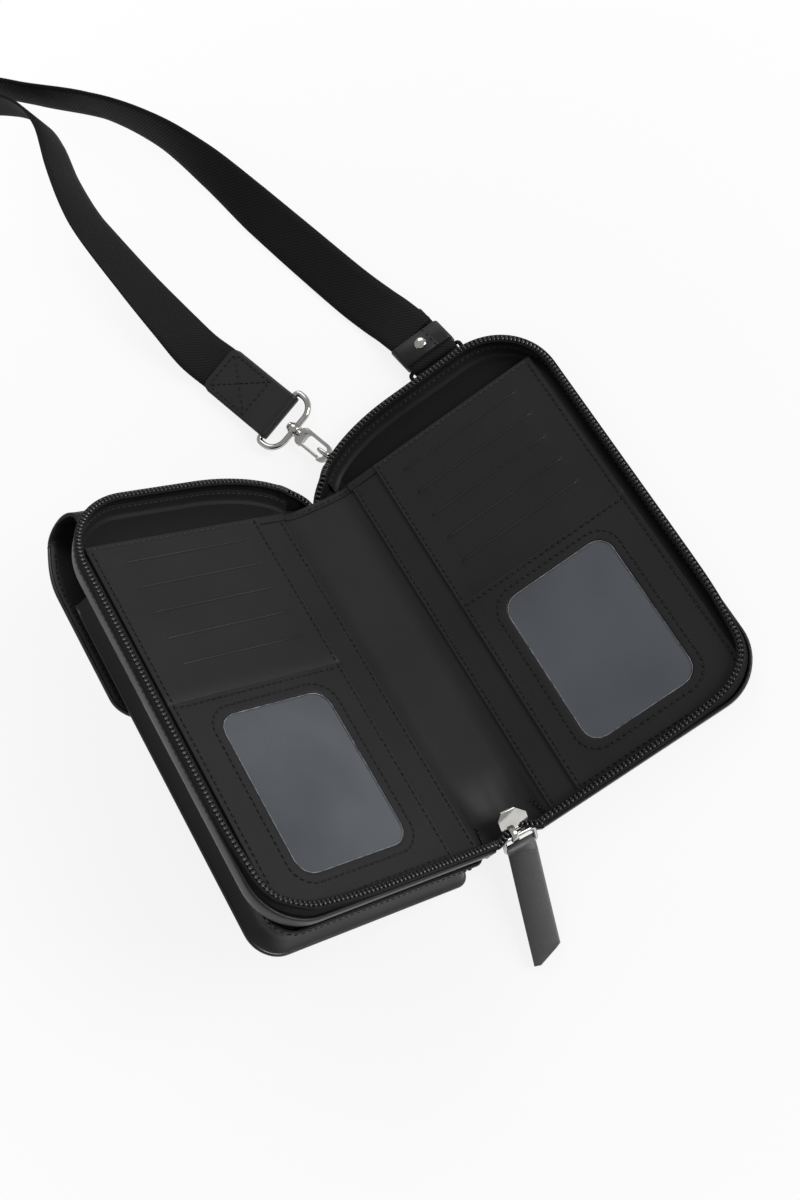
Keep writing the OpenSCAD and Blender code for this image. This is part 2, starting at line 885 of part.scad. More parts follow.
// Hook that turns on its pin in the frame's barrel
module snap_hook() {
    head_y = barrel_l/2 - frame_l + gap;
    pin_l = barrel_l + 2*gap;
    color(nickel) at_hook() {
        translate([0, head_y + collar_l, 0]) rotate([90, 0, 0]) cylinder(h = collar_l, r = pin_head_r);
        translate([0, head_y, 0]) rotate([90, 0, 0]) cylinder(h = pin_l, r = pin_r);
        translate([0, head_y - pin_l, 0]) rotate([90, 0, 0]) cylinder(h = collar_l, r = pin_head_r);
        translate([0, 0, -hook_t/2]) linear_extrude(hook_t) difference() {
            translate([-hook_w/2, -hook_reach - hook_tip])
                polygon(round_box(hook_w, hook_reach + hook_tip + body_y + gap, hook_r));
            translate([-hook_hole_w/2, -hook_reach - hook_nose])
                polygon(round_box(hook_hole_w, hook_hole_l, hook_hole_r));
            translate([gate_x + gate_t/2 + 2*gap - hook_w, gate_y - gate_l - gap])
                square([hook_w, gate_l + gap]);
            translate([gate_x, gate_y]) circle(gate_r + play);
        }
    }
}

module hook_gate() {
    color(nickel) at_hook() translate([0, 0, -hook_t/2]) linear_extrude(hook_t) {
        translate([gate_x, gate_y]) circle(gate_r);
        translate([gate_x - gate_t/2, gate_y - gate_l]) square([gate_t, gate_l]);
    }
}

// Height of the webbing's middle where it leans on its lower edge and is raised over the parts below it
function band_z(tilt, raise) = lift + raise + web_t/2*cos(tilt) + web_w/2*sin(tilt);

function spline(a, b, c, d, t) =
    (2*b + (c - a)*t + (2*a - 5*b + 4*c - d)*t*t + (3*b - a - 3*c + d)*t*t*t)/2;

// Point of the route between stop i and the next one: x, y, tilt and raise
function route_point(i, t) =
    let (
        a = route[max(i - 1, 0)],
        b = route[i],
        c = route[i + 1],
        d = route[min(i + 2, len(route) - 1)],
        flat = b + (c - b)*t
    )
    [spline(a[0], b[0], c[0], d[0], t), spline(a[1], b[1], c[1], d[1], t), flat[2], flat[3]];

// Outline of the webbing across the route, its right edge down where it tilts
function band_ring(here, way) = [for (p = band_outline) [
    here[0] + p[0]*way[1]*cos(here[2]) + p[1]*way[1]*sin(here[2]),
    here[1] - p[0]*way[0]*cos(here[2]) - p[1]*way[0]*sin(here[2]),
    band_z(here[2], here[3]) - p[0]*sin(here[2]) + p[1]*cos(here[2])
]];

// Direction of the route at stop i: along the sewn ends at both of its ends
function way_at(path, i) =
    let (
        last = len(path) - 1,
        run = i == 0 ? hook_way : i == last ? [0, -1]
            : [path[i + 1][0] - path[i - 1][0], path[i + 1][1] - path[i - 1][1]]
    )
    run/norm(run);

module strap_webbing() {
    path = [
        for (i = [0:len(route) - 2]) each [route_point(i, 0), route_point(i, 1/2)],
        route[len(route) - 1]
    ];
    last = len(path) - 1;
    sides = len(band_outline);
    points = [for (i = [0:last]) each band_ring(path[i], way_at(path, i))];
    walls = [for (i = [0:last - 1]) for (k = [0:sides - 1]) let (next = (k + 1)%sides) each [
        [i*sides + k, i*sides + next, (i + 1)*sides + k],
        [i*sides + next, (i + 1)*sides + next, (i + 1)*sides + k]
    ]];
    ends = [
        [for (k = [0:sides - 1]) sides - 1 - k],
        [for (k = [0:sides - 1]) last*sides + k]
    ];
    color(cloth) polyhedron(points, concat(walls, ends));
}

right_back_panel();
right_gusset();
right_lining();
right_zip_tape();
right_zip_coil();
right_leaf();
right_slip_panel();
right_card_slots();
right_window_panel();
right_window_film();
left_back_panel();
left_gusset();
left_lining();
left_zip_tape();
left_zip_coil();
left_leaf();
left_slip_panel();
left_card_slots();
left_window_panel();
left_window_film();
spine_panel();
spine_leaf();
zip_end_top();
zip_end_bottom();
zip_slider();
puller_ring();
puller();
pocket_gusset();
pocket_front();
pocket_magnet();
flap_root();
flap_turn();
flap_front();
flap_magnet();
hook_ring_tab();
hook_ring();
strap_ring_tab();
strap_ring();
strap_webbing();
strap_turned_end();
strap_leather_end();
hook_frame();
snap_hook();
hook_gate();
keeper();
keeper_rivet();
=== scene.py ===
"""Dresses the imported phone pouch: leather, linings, zips, windows, stitching, rings and the webbing strap."""

import logging
import math
from dataclasses import dataclass, field
from enum import Enum
from typing import Callable, Iterable, Sequence

import bmesh
import bpy
from mathutils import Matrix, Vector, noise

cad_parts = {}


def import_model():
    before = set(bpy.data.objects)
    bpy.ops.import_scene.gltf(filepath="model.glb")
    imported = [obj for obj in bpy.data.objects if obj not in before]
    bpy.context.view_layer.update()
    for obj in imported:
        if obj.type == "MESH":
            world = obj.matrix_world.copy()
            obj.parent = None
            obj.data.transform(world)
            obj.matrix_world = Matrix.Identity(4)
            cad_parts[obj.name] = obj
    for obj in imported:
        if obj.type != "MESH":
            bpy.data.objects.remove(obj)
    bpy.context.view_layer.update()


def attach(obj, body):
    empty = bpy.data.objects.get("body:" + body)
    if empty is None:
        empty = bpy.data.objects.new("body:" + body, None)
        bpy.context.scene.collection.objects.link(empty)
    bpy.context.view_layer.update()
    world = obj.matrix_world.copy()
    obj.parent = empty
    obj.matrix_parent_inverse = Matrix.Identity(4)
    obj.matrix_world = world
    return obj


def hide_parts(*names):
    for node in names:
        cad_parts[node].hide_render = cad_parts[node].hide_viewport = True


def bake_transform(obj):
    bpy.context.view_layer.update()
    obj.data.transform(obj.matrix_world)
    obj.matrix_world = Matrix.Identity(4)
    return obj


LOG = logging.getLogger("pouch")
MM = 0.001

Point = tuple[float, float, float]
Outline = tuple[tuple[float, float], ...]


# Places of the halves and the spine


@dataclass(frozen=True)
class Sizes:
    """The sizes that several pieces share, in millimetres, as the part's source names them.

    Attributes:
        half_w: a half's width from the seam.
        half_d: a closed half's depth, which is half the spine's width.
        leaf_h: the height of the inner leaf.
        head_h: how far the rim stands over the leaf at the top.
        tail_h: how far it stands past the leaf at the bottom.
        top_r: the radius of the rim's upper corner.
        bottom_r: the radius of its lower corner.
        dip_w: where the rim's curve down to the spine starts.
        dip_out: how far that curve reaches past the seam.
        pocket_d: the depth of the phone pocket.
    """

    half_w: float = 118.0
    half_d: float = 14.0
    leaf_h: float = 182.0
    head_h: float = 22.0
    tail_h: float = 4.0
    top_r: float = 34.0
    bottom_r: float = 24.0
    dip_w: float = 46.0
    dip_out: float = 5.0
    pocket_d: float = 19.0

    @property
    def y_top(self) -> float:
        """Height of the rim's straight top."""
        return self.leaf_h / 2 + self.head_h

    @property
    def y_bottom(self) -> float:
        """Height of the rim's straight bottom."""
        return -self.leaf_h / 2 - self.tail_h

    @property
    def lean(self) -> float:
        """Lean of the spine, in radians."""
        w, p = 2 * self.half_d, self.pocket_d
        return math.asin((math.sqrt(w * w + 8 * p * p) - w) / (4 * p))


SIZES = Sizes()


@dataclass(frozen=True)
class Place:
    """A flat drawing's place in the row's frame: across, along and up its three directions."""

    origin: Vector
    across: Vector
    along: Vector
    up: Vector

    def at(self, x: float, y: float, z: float) -> Vector:
        """Turn a point of the drawing, in millimetres, into one of the frame, in metres."""
        return (self.origin + self.across * x + self.along * y + self.up * z) * MM

    def way(self, x: float, y: float, z: float) -> Vector:
        """Turn a direction of the drawing into one of the frame."""
        return (self.across * x + self.along * y + self.up * z).normalized()

    def inside(self, x: float, y: float, z: float, turn: float = 0.0, tip: float = 0.0) -> "Place":
        """A place at a point of this one, turned about up and then tipped about across, in degrees.

        Args:
            x: the point across.
            y: the point along.
            z: the point up.
            turn: the turn about up.
            tip: the tip about across.

        Returns:
            The place.
        """
        c, s = math.cos(math.radians(turn)), math.sin(math.radians(turn))
        across = self.across * c + self.along * s
        along = self.along * c - self.across * s
        ct, st = math.cos(math.radians(tip)), math.sin(math.radians(tip))
        return Place(
            self.origin + self.across * x + self.along * y + self.up * z,
            across,
            along * ct + self.up * st,
            self.up * ct - along * st,
        )


def make_places() -> dict[str, Place]:
    """Make the places of the two halves and of the spine between them.

    Returns:
        The places by body name.
    """
    lean = SIZES.lean
    y = Vector((0, 1, 0))
    seam = Vector((-SIZES.half_d, 0, 0))
    spine_x = Vector((-math.cos(lean), 0, math.sin(lean)))
    left_x = Vector((-math.cos(2 * lean), 0, math.sin(2 * lean)))
    return {
        "right_half": Place(seam, Vector((1, 0, 0)), y, Vector((0, 0, 1))),
        "spine": Place(seam, spine_x, y, Vector((math.sin(lean), 0, math.cos(lean)))),
        "left_half": Place(
            seam + spine_x * 2 * SIZES.half_d, left_x, y,
            Vector((math.sin(2 * lean), 0, math.cos(2 * lean))),
        ),
    }


PLACES = make_places()
WORLD = Place(Vector((0, 0, 0)), Vector((1, 0, 0)), Vector((0, 1, 0)), Vector((0, 0, 1)))


# Outlines


def arc(
    cx: float, cy: float, rx: float, ry: float, start: float, end: float, steps: int,
) -> list[tuple[float, float]]:
    """Points on an arc of an ellipse, from start to end in degrees.

    Args:
        cx: the middle across.
        cy: the middle along.
        rx: the ellipse's radius across.
        ry: its radius along.
        start: where the arc starts.
        end: where it ends.
        steps: how many steps it has.

    Returns:
        The points.
    """
    return [
        (cx + rx * math.cos(math.radians(start + (end - start) * i / steps)),
         cy + ry * math.sin(math.radians(start + (end - start) * i / steps)))
        for i in range(steps + 1)
    ]


def straight(a: Sequence[float], b: Sequence[float], steps: int) -> list[tuple[float, float]]:
    """Points on a straight line, without its two ends.

    Args:
        a: where the line starts.
        b: where it ends.
        steps: how many steps it has.

    Returns:
        The points between.
    """
    return [
        (a[0] + (b[0] - a[0]) * i / steps, a[1] + (b[1] - a[1]) * i / steps)
        for i in range(1, steps)
    ]


def between(a: Sequence[float], b: Sequence[float], share: float) -> tuple[float, float]:
    """A point at a share of the way from one point of a drawing to another."""
    return a[0] + (b[0] - a[0]) * share, a[1] + (b[1] - a[1]) * share


def clamp(value: float) -> float:
    """A value kept between nothing and one."""
    return min(1.0, max(0.0, value))


def eased(share: float) -> float:
    """A share that starts and ends softly."""
    return share * share * (3 - 2 * share)


@dataclass(frozen=True)
class Rim:
    """The outline of a half, from the spine's bottom round to its top.

    Attributes:
        start: where it starts across the half, in millimetres from the seam.
    """

    start: float = 2.2

    def line(self, inset: float) -> list[tuple[float, float]]:
        """Points of the outline, moved inwards.

        Args:
            inset: how far the points are moved inwards.

        Returns:
            The points, the same number for any inset.
        """
        s = SIZES
        low = s.y_bottom + inset
        corner = arc(
            s.half_w - s.bottom_r, s.y_bottom + s.bottom_r, s.bottom_r - inset, s.bottom_r - inset, -90, 0,
            14,
        )
        top = arc(s.half_w - s.top_r, s.y_top - s.top_r, s.top_r - inset, s.top_r - inset, 0, 90, 18)
        rx, ry = s.dip_w + s.dip_out - inset, s.head_h - inset
        reach = min(1.0, (s.dip_w - self.start) / rx)
        dip = arc(s.dip_w, s.leaf_h / 2, rx, ry, 90, 180 - math.degrees(math.acos(reach)), 22)
        first = (self.start, low)
        return (
            [first] + straight(first, corner[0], 22) + corner + straight(corner[-1], top[0], 36) + top
            + straight(top[-1], dip[0], 8) + dip
        )


def spline(points: Sequence[Sequence[float]], steps: int) -> list[list[float]]:
    """A smooth line through points of any number of values.

    Args:
        points: the points that it passes through.
        steps: how many steps there are between two points.

    Returns:
        The line's points.
    """
    out: list[list[float]] = []
    last = len(points) - 1
    for i in range(last):
        a, b = points[max(i - 1, 0)], points[i]
        c, d = points[i + 1], points[min(i + 2, last)]
        for k in range(steps):
            t = k / steps
            out.append([
                0.5 * (
                    2 * q + (r - p) * t + (2 * p - 5 * q + 4 * r - w) * t * t
                    + (3 * q - p - 3 * r + w) * t ** 3
                )
                for p, q, r, w in zip(a, b, c, d)
            ])
    out.append(list(points[-1]))
    return out


def resample(points: Sequence[Vector], pitch: float) -> list[Vector]:
    """Points at even steps along a line of points, in the same unit as the pitch.

    Args:
        points: the line.
        pitch: the step.

    Returns:
        The points, from the first one of the line.
    """
    out, left = [points[0].copy()], pitch
    for a, b in zip(points, points[1:]):
        run, length = b - a, (b - a).length
        done = 0.0
        while length - done >= left and length > 0:
            done += left
            out.append(a + run * (done / length))
            left = pitch
        left -= length - done
    return out


# Meshes


def finish_piece(
    obj: bpy.types.Object, body: str, material: bpy.types.Material, replaces: Sequence[str] = (),
) -> bpy.types.Object:
    """Dress a piece and hang it on its body.

    Args:
        obj: the piece.
        body: the CAD body that it rides on.
        material: its material.
        replaces: the CAD nodes that it stands for.

    Returns:
        The piece.
    """
    if not obj.data.materials:
        obj.data.materials.append(material)
    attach(obj, body)
    if replaces:
        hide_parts(*replaces)
    LOG.info("%s: %d faces on %s", obj.name, len(obj.data.polygons), body)
    return obj


def dressed(obj: bpy.types.Object, material: bpy.types.Material) -> bpy.types.Object:
    """An object with a material on it."""
    obj.data.materials.append(material)
    return obj


def new_object(name: str, mesh: bpy.types.Mesh) -> bpy.types.Object:
    """Put a mesh in the scene under a name."""
    obj = bpy.data.objects.new(name, mesh)
    bpy.context.scene.collection.objects.link(obj)
    return obj


def mesh_from(name: str, points: Iterable[Vector], faces: Iterable[Sequence[int]]) -> bpy.types.Object:
    """Make a closed, smooth object of points and faces.

    Args:
        name: the object's name.
        points: its points in the row's frame, in metres.
        faces: its faces as numbers of points.

    Returns:
        The object.
    """
    mesh = bpy.data.meshes.new(name)
    mesh.from_pydata([tuple(p) for p in points], [], [list(f) for f in faces])
    bm = bmesh.new()
    bm.from_mesh(mesh)
    bmesh.ops.remove_doubles(bm, verts=bm.verts, dist=1e-6)
    bmesh.ops.recalc_face_normals(bm, faces=bm.faces)
    bm.to_mesh(mesh)
    bm.free()
    mesh.polygons.foreach_set("use_smooth", [True] * len(mesh.polygons))
    mesh.update()
    return new_object(name, mesh)


def ring_faces(rings: int, size: int, closed: bool = True) -> list[list[int]]:
    """The faces between rings of points.

    Args:
        rings: how many rings there are.
        size: how many points each of them has.
        closed: whether each ring closes on itself.

    Returns:
        The faces as numbers of points.
    """
    return [
        [i * size + k, i * size + (k + 1) % size, (i + 1) * size + (k + 1) % size, (i + 1) * size + k]
        for i in range(rings - 1) for k in range(size if closed else size - 1)
    ]


def loft(name: str, rings: Sequence[Sequence[Vector]], caps: bool = True) -> bpy.types.Object:
    """Join rings of points into a tube.

    Args:
        name: the object's name.
        rings: the rings, each with the same number of points.
        caps: whether both ends are closed.

    Returns:
        The object.
    """
    n = len(rings[0])
    faces = ring_faces(len(rings), n)
    if caps:
        faces.append(list(range(n))[::-1])
        faces.append([(len(rings) - 1) * n + k for k in range(n)])
    return mesh_from(name, [p for ring in rings for p in ring], faces)


def sharpen(obj: bpy.types.Object, angle: float = 40.0) -> bpy.types.Object:
    """Mark the edges that turn by more than an angle as sharp.

    Args:
        obj: the object.
        angle: the least turn that is marked, in degrees.

    Returns:
        The object.
    """
    bm = bmesh.new()
    bm.from_mesh(obj.data)
    for edge in bm.edges:
        if len(edge.link_faces) == 2 and edge.calc_face_angle(0.0) > math.radians(angle):
            edge.smooth = False
    bm.to_mesh(obj.data)
    bm.free()
    return obj


def bevel(obj: bpy.types.Object, width: float, segments: int) -> bpy.types.Object:
    """Round an object's sharp edges, with the result kept in its mesh.

    Args:
        obj: the object.
        width: the width of the rounding, in millimetres.
        segments: how many faces the rounding has across it.

    Returns:
        The object.
    """
    mod = obj.modifiers.new("round", "BEVEL")
    mod.width = width * MM
    mod.segments = segments
    mod.limit_method = "ANGLE"
    mod.angle_limit = math.radians(35.0)
    mod.harden_normals = False
    return bake(obj)


def bake(obj: bpy.types.Object) -> bpy.types.Object:
    """Replace an object's mesh with what its modifiers make of it, and drop them.

    Args:
        obj: the object.

    Returns:
        The object.
    """
    graph = bpy.context.evaluated_depsgraph_get()
    graph.update()
    mesh = bpy.data.meshes.new_from_object(
        obj.evaluated_get(graph), preserve_all_data_layers=True, depsgraph=graph,
    )
    old = obj.data
    obj.modifiers.clear()
    obj.data = mesh
    mesh.name = obj.name
    bpy.data.meshes.remove(old)
    return obj


def join(name: str, objects: Sequence[bpy.types.Object]) -> bpy.types.Object:
    """Join several objects into one, with their materials.

    Args:
        name: the new object's name.
        objects: the objects, which are removed.

    Returns:
        The joined object.
    """
    bm = bmesh.new()
    materials: list[bpy.types.Material] = []
    for obj in objects:
        start, shift = len(bm.faces), []
        for material in obj.data.materials:
            if material not in materials:
                materials.append(material)
            shift.append(materials.index(material))
        bm.from_mesh(obj.data)
        bm.faces.ensure_lookup_table()
        for face in bm.faces[start:]:
            if shift:
                face.material_index = shift[min(face.material_index, len(shift) - 1)]
    mesh = bpy.data.meshes.new(name)
    bm.to_mesh(mesh)
    bm.free()
    for material in materials:
        mesh.materials.append(material)
    for obj in objects:
        old = obj.data
        bpy.data.objects.remove(obj)
        bpy.data.meshes.remove(old)
    return new_object(name, mesh)


def tube(
    name: str, line: Sequence[Vector], radius: float, sides: int = 16, closed: bool = False,
) -> bpy.types.Object:
    """A round wire along a line of points.

    Args:
        name: the object's name.
        line: the points of its middle line, in metres.
        radius: its radius, in millimetres.
        sides: how many sides it has.
        closed: whether it is a closed loop.

    Returns:
        The wire.
    """
    rings = []
    count = len(line)
    side = None
    for i, point in enumerate(line):
        ahead = line[(i + 1) % count] if closed or i + 1 < count else point
        back = line[(i - 1) % count] if closed or i > 0 else point
        way = (ahead - back).normalized()
        if side is None:
            side = way.orthogonal().normalized()
        side = (side - way * side.dot(way)).normalized()
        other = way.cross(side)
        rings.append([
            point + (
                side * math.cos(math.tau * k / sides) + other * math.sin(math.tau * k / sides)
            ) * radius * MM
            for k in range(sides)
        ])
    if closed:
        offsets = [(rings[-1][0] - rings[0][k]).length for k in range(sides)]
        twist, last = offsets.index(min(offsets)), (count - 1) * sides
        faces = ring_faces(count, sides) + [
            [last + k, last + (k + 1) % sides, ((k + 1) % sides + twist) % sides, (k + twist) % sides]
            for k in range(sides)
        ]
        return mesh_from(name, [p for ring in rings for p in ring], faces)
    return loft(name, rings)


def ring_line(place: Place, width: float, length: float, near_r: float, far_r: float) -> list[Vector]:
    """The middle line of a flat wire loop: its near bar at the place, its far bar at -length along it.

    Args:
        place: the place of the near bar.
        width: the loop's width.
        length: its length.
        near_r: the radius of its two near corners.
        far_r: the radius of its two far corners.

    Returns:
        The line's points, in metres.
    """
    pts: list[tuple[float, float]] = []
    pts += arc(width / 2 - near_r, -near_r, near_r, near_r, 90, 0, 8)
    pts += arc(width / 2 - far_r, far_r - length, far_r, far_r, 0, -90, 8)
    pts += arc(far_r - width / 2, far_r - length, far_r, far_r, -90, -180, 8)
    pts += arc(near_r - width / 2, -near_r, near_r, near_r, 180, 90, 8)
    return [place.at(x, y, 0) for x, y in pts]


def slab(
    name: str, place: Place, outline: Sequence[tuple[float, float]], z0: float, z1: float, edge: float = 0.3,
) -> bpy.types.Object:
    """A flat plate with rounded edges, from an outline.

    Args:
        name: the object's name.
        place: where it lies.
        outline: its outline.
        z0: its lower face.
        z1: its upper face.
        edge: the radius of its edges.

    Returns:
        The plate.
    """
    n = len(outline)
    points = [place.at(x, y, z0) for x, y in outline] + [place.at(x, y, z1) for x, y in outline]
    faces = [list(range(n))[::-1], [n + k for k in range(n)]]
    faces += [[k, (k + 1) % n, n + (k + 1) % n, n + k] for k in range(n)]
    obj = mesh_from(name, points, faces)
    return bevel(obj, edge, 3) if edge else sharpen(obj)


def box_outline(
    x0: float, x1: float, y0: float, y1: float, r: float, steps: int = 8,
) -> list[tuple[float, float]]:
    """A rectangle's outline with round corners.

    Args:
        x0: the left edge.
        x1: the right edge.
        y0: the lower edge.
        y1: the upper edge.
        r: the radius of the corners.
        steps: how many steps a corner has.

    Returns:
        The points.
    """
    return (
        arc(x1 - r, y0 + r, r, r, -90, 0, steps) + arc(x1 - r, y1 - r, r, r, 0, 90, steps)
        + arc(x0 + r, y1 - r, r, r, 90, 180, steps) + arc(x0 + r, y0 + r, r, r, 180, 270, steps)
    )


# Node trees


class Tree:
    """A node tree that is filled by short calls."""

    def __init__(self, tree: bpy.types.NodeTree) -> None:
        """Start from a tree, without its old nodes."""
        self.tree = tree
        tree.nodes.clear()

    def add(self, kind: str, inputs: dict | None = None, **props: object) -> bpy.types.Node:
        """Add a node.

        Args:
            kind: its type.
            inputs: its inputs by name or number, as values or as sockets to link.
            props: its properties.

        Returns:
            The node.
        """
        node = self.tree.nodes.new(kind)
        for name, value in props.items():
            setattr(node, name, value)
        self.feed(node, inputs or {})
        return node

    def feed(self, node: bpy.types.Node, inputs: dict) -> None:
        """Set a node's inputs.

        Args:
            node: the node.
            inputs: its inputs by name or number, as values or as sockets to link.
        """
        for name, value in inputs.items():
            socket = node.inputs[name]
            if isinstance(value, bpy.types.NodeSocket):
                self.tree.links.new(value, socket)
            else:
                socket.default_value = value

    def math(self, operation: str, a: object, b: object = 0.0, clamp: bool = False) -> bpy.types.NodeSocket:
        """The result of a sum of two values."""
        return self.add("ShaderNodeMath", {0: a, 1: b}, operation=operation, use_clamp=clamp).outputs[0]

    def noise(self, vector: object, scale: object, detail: float, **more: float) -> bpy.types.Node:
        """Soft noise at a scale, with further inputs by name."""
        return self.add("ShaderNodeTexNoise", {"Vector": vector, "Scale": scale, "Detail": detail, **more})

    def bump(self, height: object, strength: float, distance: float) -> bpy.types.NodeSocket:
        """The normal of a surface that is raised by a height, at most by a distance in metres."""
        inputs = {"Height": height, "Strength": strength, "Distance": distance}
        return self.add("ShaderNodeBump", inputs).outputs[0]

    def remap(
        self, value: object, low: float, high: float, to_low: float = 0.0, to_high: float = 1.0,
    ) -> bpy.types.NodeSocket:
        """A value moved from one range to another, and kept inside it.

        Args:
            value: the value.
            low: the lower end of its range.
            high: the upper end.
            to_low: what the lower end becomes.
            to_high: what the upper end becomes.

        Returns:
            The moved value.
        """
        ends = {"From Min": low, "From Max": high, "To Min": to_low, "To Max": to_high}
        return self.add("ShaderNodeMapRange", {"Value": value, **ends}).outputs["Result"]

    def mix(self, share: object, a: object, b: object) -> bpy.types.NodeSocket:
        """A colour between two colours.

        Args:
            share: how much there is of the second colour.
            a: the first colour.
            b: the second colour.

        Returns:
            The colour.
        """
        node = self.add("ShaderNodeMix", data_type="RGBA")
        for name, value in (("Factor", share), ("A", a), ("B", b)):
            socket = next(s for s in node.inputs if s.name == name and (s.type == "RGBA" or name == "Factor"))
            self.feed(node, {list(node.inputs).index(socket): value})
        return next(s for s in node.outputs if s.type == "RGBA")


def group(
    name: str, inputs: dict[str, float], outputs: Sequence[str],
    build: Callable[[Tree, bpy.types.Node], dict],
) -> bpy.types.NodeTree:
    """Make a shader node group whose inputs and outputs are values.

    Args:
        name: the group's name.
        inputs: its inputs with their first values; one named Vector is a vector.
        outputs: its outputs.
        build: fills the tree, and returns a socket for each output.

    Returns:
        The group.
    """
    tree = bpy.data.node_groups.new(name, "ShaderNodeTree")
    for key, value in inputs.items():
        kind = "NodeSocketVector" if key == "Vector" else "NodeSocketFloat"
        socket = tree.interface.new_socket(name=key, in_out="INPUT", socket_type=kind)
        if key != "Vector":
            socket.default_value = value
    for key in outputs:
        tree.interface.new_socket(name=key, in_out="OUTPUT", socket_type="NodeSocketFloat")
    work = Tree(tree)
    source = work.add("NodeGroupInput")
    result = build(work, source)
    work.add("NodeGroupOutput", result)
    return tree


def build_grain(work: Tree, source: bpy.types.Node) -> dict:
    """Leather grain: small pebbles with fine creases between them.

    Args:
        work: the tree that is filled.
        source: the node with its inputs.

    Returns:
        A socket for each output.
    """
    vector, scale = source.outputs["Vector"], source.outputs["Scale"]
    warp = work.noise(vector, work.math("MULTIPLY", scale, 0.35), 2.0)
    moved = work.add(
        "ShaderNodeVectorMath", {0: warp.outputs["Color"], 1: (0.0006, 0.0006, 0.0006)}, operation="MULTIPLY",
    )
    placed = work.add("ShaderNodeVectorMath", {0: vector, 1: moved.outputs[0]}, operation="ADD").outputs[0]
    cells = work.add(
        "ShaderNodeTexVoronoi", {"Vector": placed, "Scale": scale, "Randomness": 0.9},
        feature="DISTANCE_TO_EDGE",
    )
    fine = work.noise(placed, work.math("MULTIPLY", scale, 2.2), 3.0)
    pebble = work.remap(cells.outputs["Distance"], 0.0, 0.28)
    height = work.math("ADD", work.math("MULTIPLY", pebble, 0.7), work.math("MULTIPLY", fine.outputs[0], 0.3))
    return {"Height": height, "Crease": work.math("SUBTRACT", 1.0, pebble)}


def build_wear(work: Tree, source: bpy.types.Node) -> dict:
    """Broad, soft unevenness: faint clouds of handling and dust.

    Args:
        work: the tree that is filled.
        source: the node with its inputs.

    Returns:
        A socket for each output.
    """
    vector = source.outputs["Vector"]
    cloud = work.noise(vector, source.outputs["Scale"], 4.0, Roughness=0.55)
    speck = work.noise(vector, 900.0, 1.0)
    return {
        "Cloud": work.remap(cloud.outputs[0], 0.3, 0.7),
        "Speck": work.remap(speck.outputs[0], 0.66, 0.76),
    }


def build_weave(work: Tree, source: bpy.types.Node) -> dict:
    """A twill weave on two directions of a vector.

    Args:
        work: the tree that is filled.
        source: the node with its inputs.

    Returns:
        A socket for each output.
    """
    split = work.add("ShaderNodeSeparateXYZ", {0: source.outputs["Vector"]})
    pitch = source.outputs["Scale"]
    u = work.math("MULTIPLY", split.outputs[0], pitch)
    v = work.math("MULTIPLY", split.outputs[1], pitch)
    diagonal = work.math("SINE", work.math("MULTIPLY", work.math("ADD", u, v), math.tau))
    cross = work.math("SINE", work.math("MULTIPLY", work.math("SUBTRACT", u, v), math.tau * 2))
    height = work.remap(work.math("ADD", diagonal, work.math("MULTIPLY", cross, 0.4)), -1.4, 1.4)
    return {"Height": height}


class Groups:
    """The effects that more than one material uses."""

    def __init__(self) -> None:
        """Build each effect once."""
        self.grain = group("grain", {"Vector": 0.0, "Scale": 900.0}, ["Height", "Crease"], build_grain)
        self.wear = group("handling", {"Vector": 0.0, "Scale": 25.0}, ["Cloud", "Speck"], build_wear)
        self.weave = group("twill", {"Vector": 0.0, "Scale": 900.0}, ["Height"], build_weave)


class Coordinates(Enum):
    """What a pattern is laid on."""

    OBJECT = "Object"
    SURFACE = "UV"


@dataclass(frozen=True)
class Finish:
    """A material's plain values, shared by all finishes.

    Attributes:
        name: the material's name.
        dark: its darker colour.
        light: its lighter colour.
        rough: its lower and upper roughness.
    """

    name: str
    dark: tuple[float, float, float]
    light: tuple[float, float, float]
    rough: tuple[float, float]

    def start(self) -> tuple[bpy.types.Material, Tree, bpy.types.Node]:
        """Start the material.

        Returns:
            The material, its tree, and its Principled shader.
        """
        material = bpy.data.materials.new(self.name)
        material.use_nodes = True
        work = Tree(material.node_tree)
        shader = work.add("ShaderNodeBsdfPrincipled")
        work.add("ShaderNodeOutputMaterial", {"Surface": shader.outputs[0]})
        return material, work, shader

    @staticmethod
    def rgba(colour: tuple[float, float, float]) -> tuple[float, float, float, float]:
        """A colour with full cover."""
        return (*colour, 1.0)


@dataclass(frozen=True)
class Leather(Finish):
    """Matte coated leather with a pressed grain, and painted shade in the grain's creases.

    Attributes:
        grain: how many pebbles there are along a metre.
        depth: how deep the grain is, in metres.
        sheen: how much its surface lightens at a grazing view.
        shine: how strongly it reflects.
    """

    grain: float = 1300.0
    depth: float = 0.00004
    sheen: float = 0.03
    shine: float = 0.24

    def make(self, groups: Groups) -> bpy.types.Material:
        """Make the material.

        Args:
            groups: the effects that materials share.

        Returns:
            The material.
        """
        material, work, shader = self.start()
        coord = work.add("ShaderNodeTexCoord").outputs["Object"]
        grain = work.add("ShaderNodeGroup", {"Vector": coord, "Scale": self.grain}, node_tree=groups.grain)
        wear = work.add("ShaderNodeGroup", {"Vector": coord, "Scale": 22.0}, node_tree=groups.wear)
        base = work.mix(wear.outputs["Cloud"], self.rgba(self.dark), self.rgba(self.light))
        # Painted shade: the colour darkens in the grain's creases.
        crease = work.math("MULTIPLY", grain.outputs["Crease"], 0.35)
        base = work.mix(crease, base, self.rgba(tuple(c * 0.55 for c in self.dark)))
        rough = work.remap(wear.outputs["Cloud"], 0.0, 1.0, self.rough[0], self.rough[1])
        bump = work.bump(grain.outputs["Height"], 0.55, self.depth)
        work.feed(shader, {
            "Base Color": base, "Roughness": rough, "Normal": bump, "Sheen Weight": self.sheen,
            "Sheen Roughness": 0.5, "Specular IOR Level": self.shine,
        })
        return material


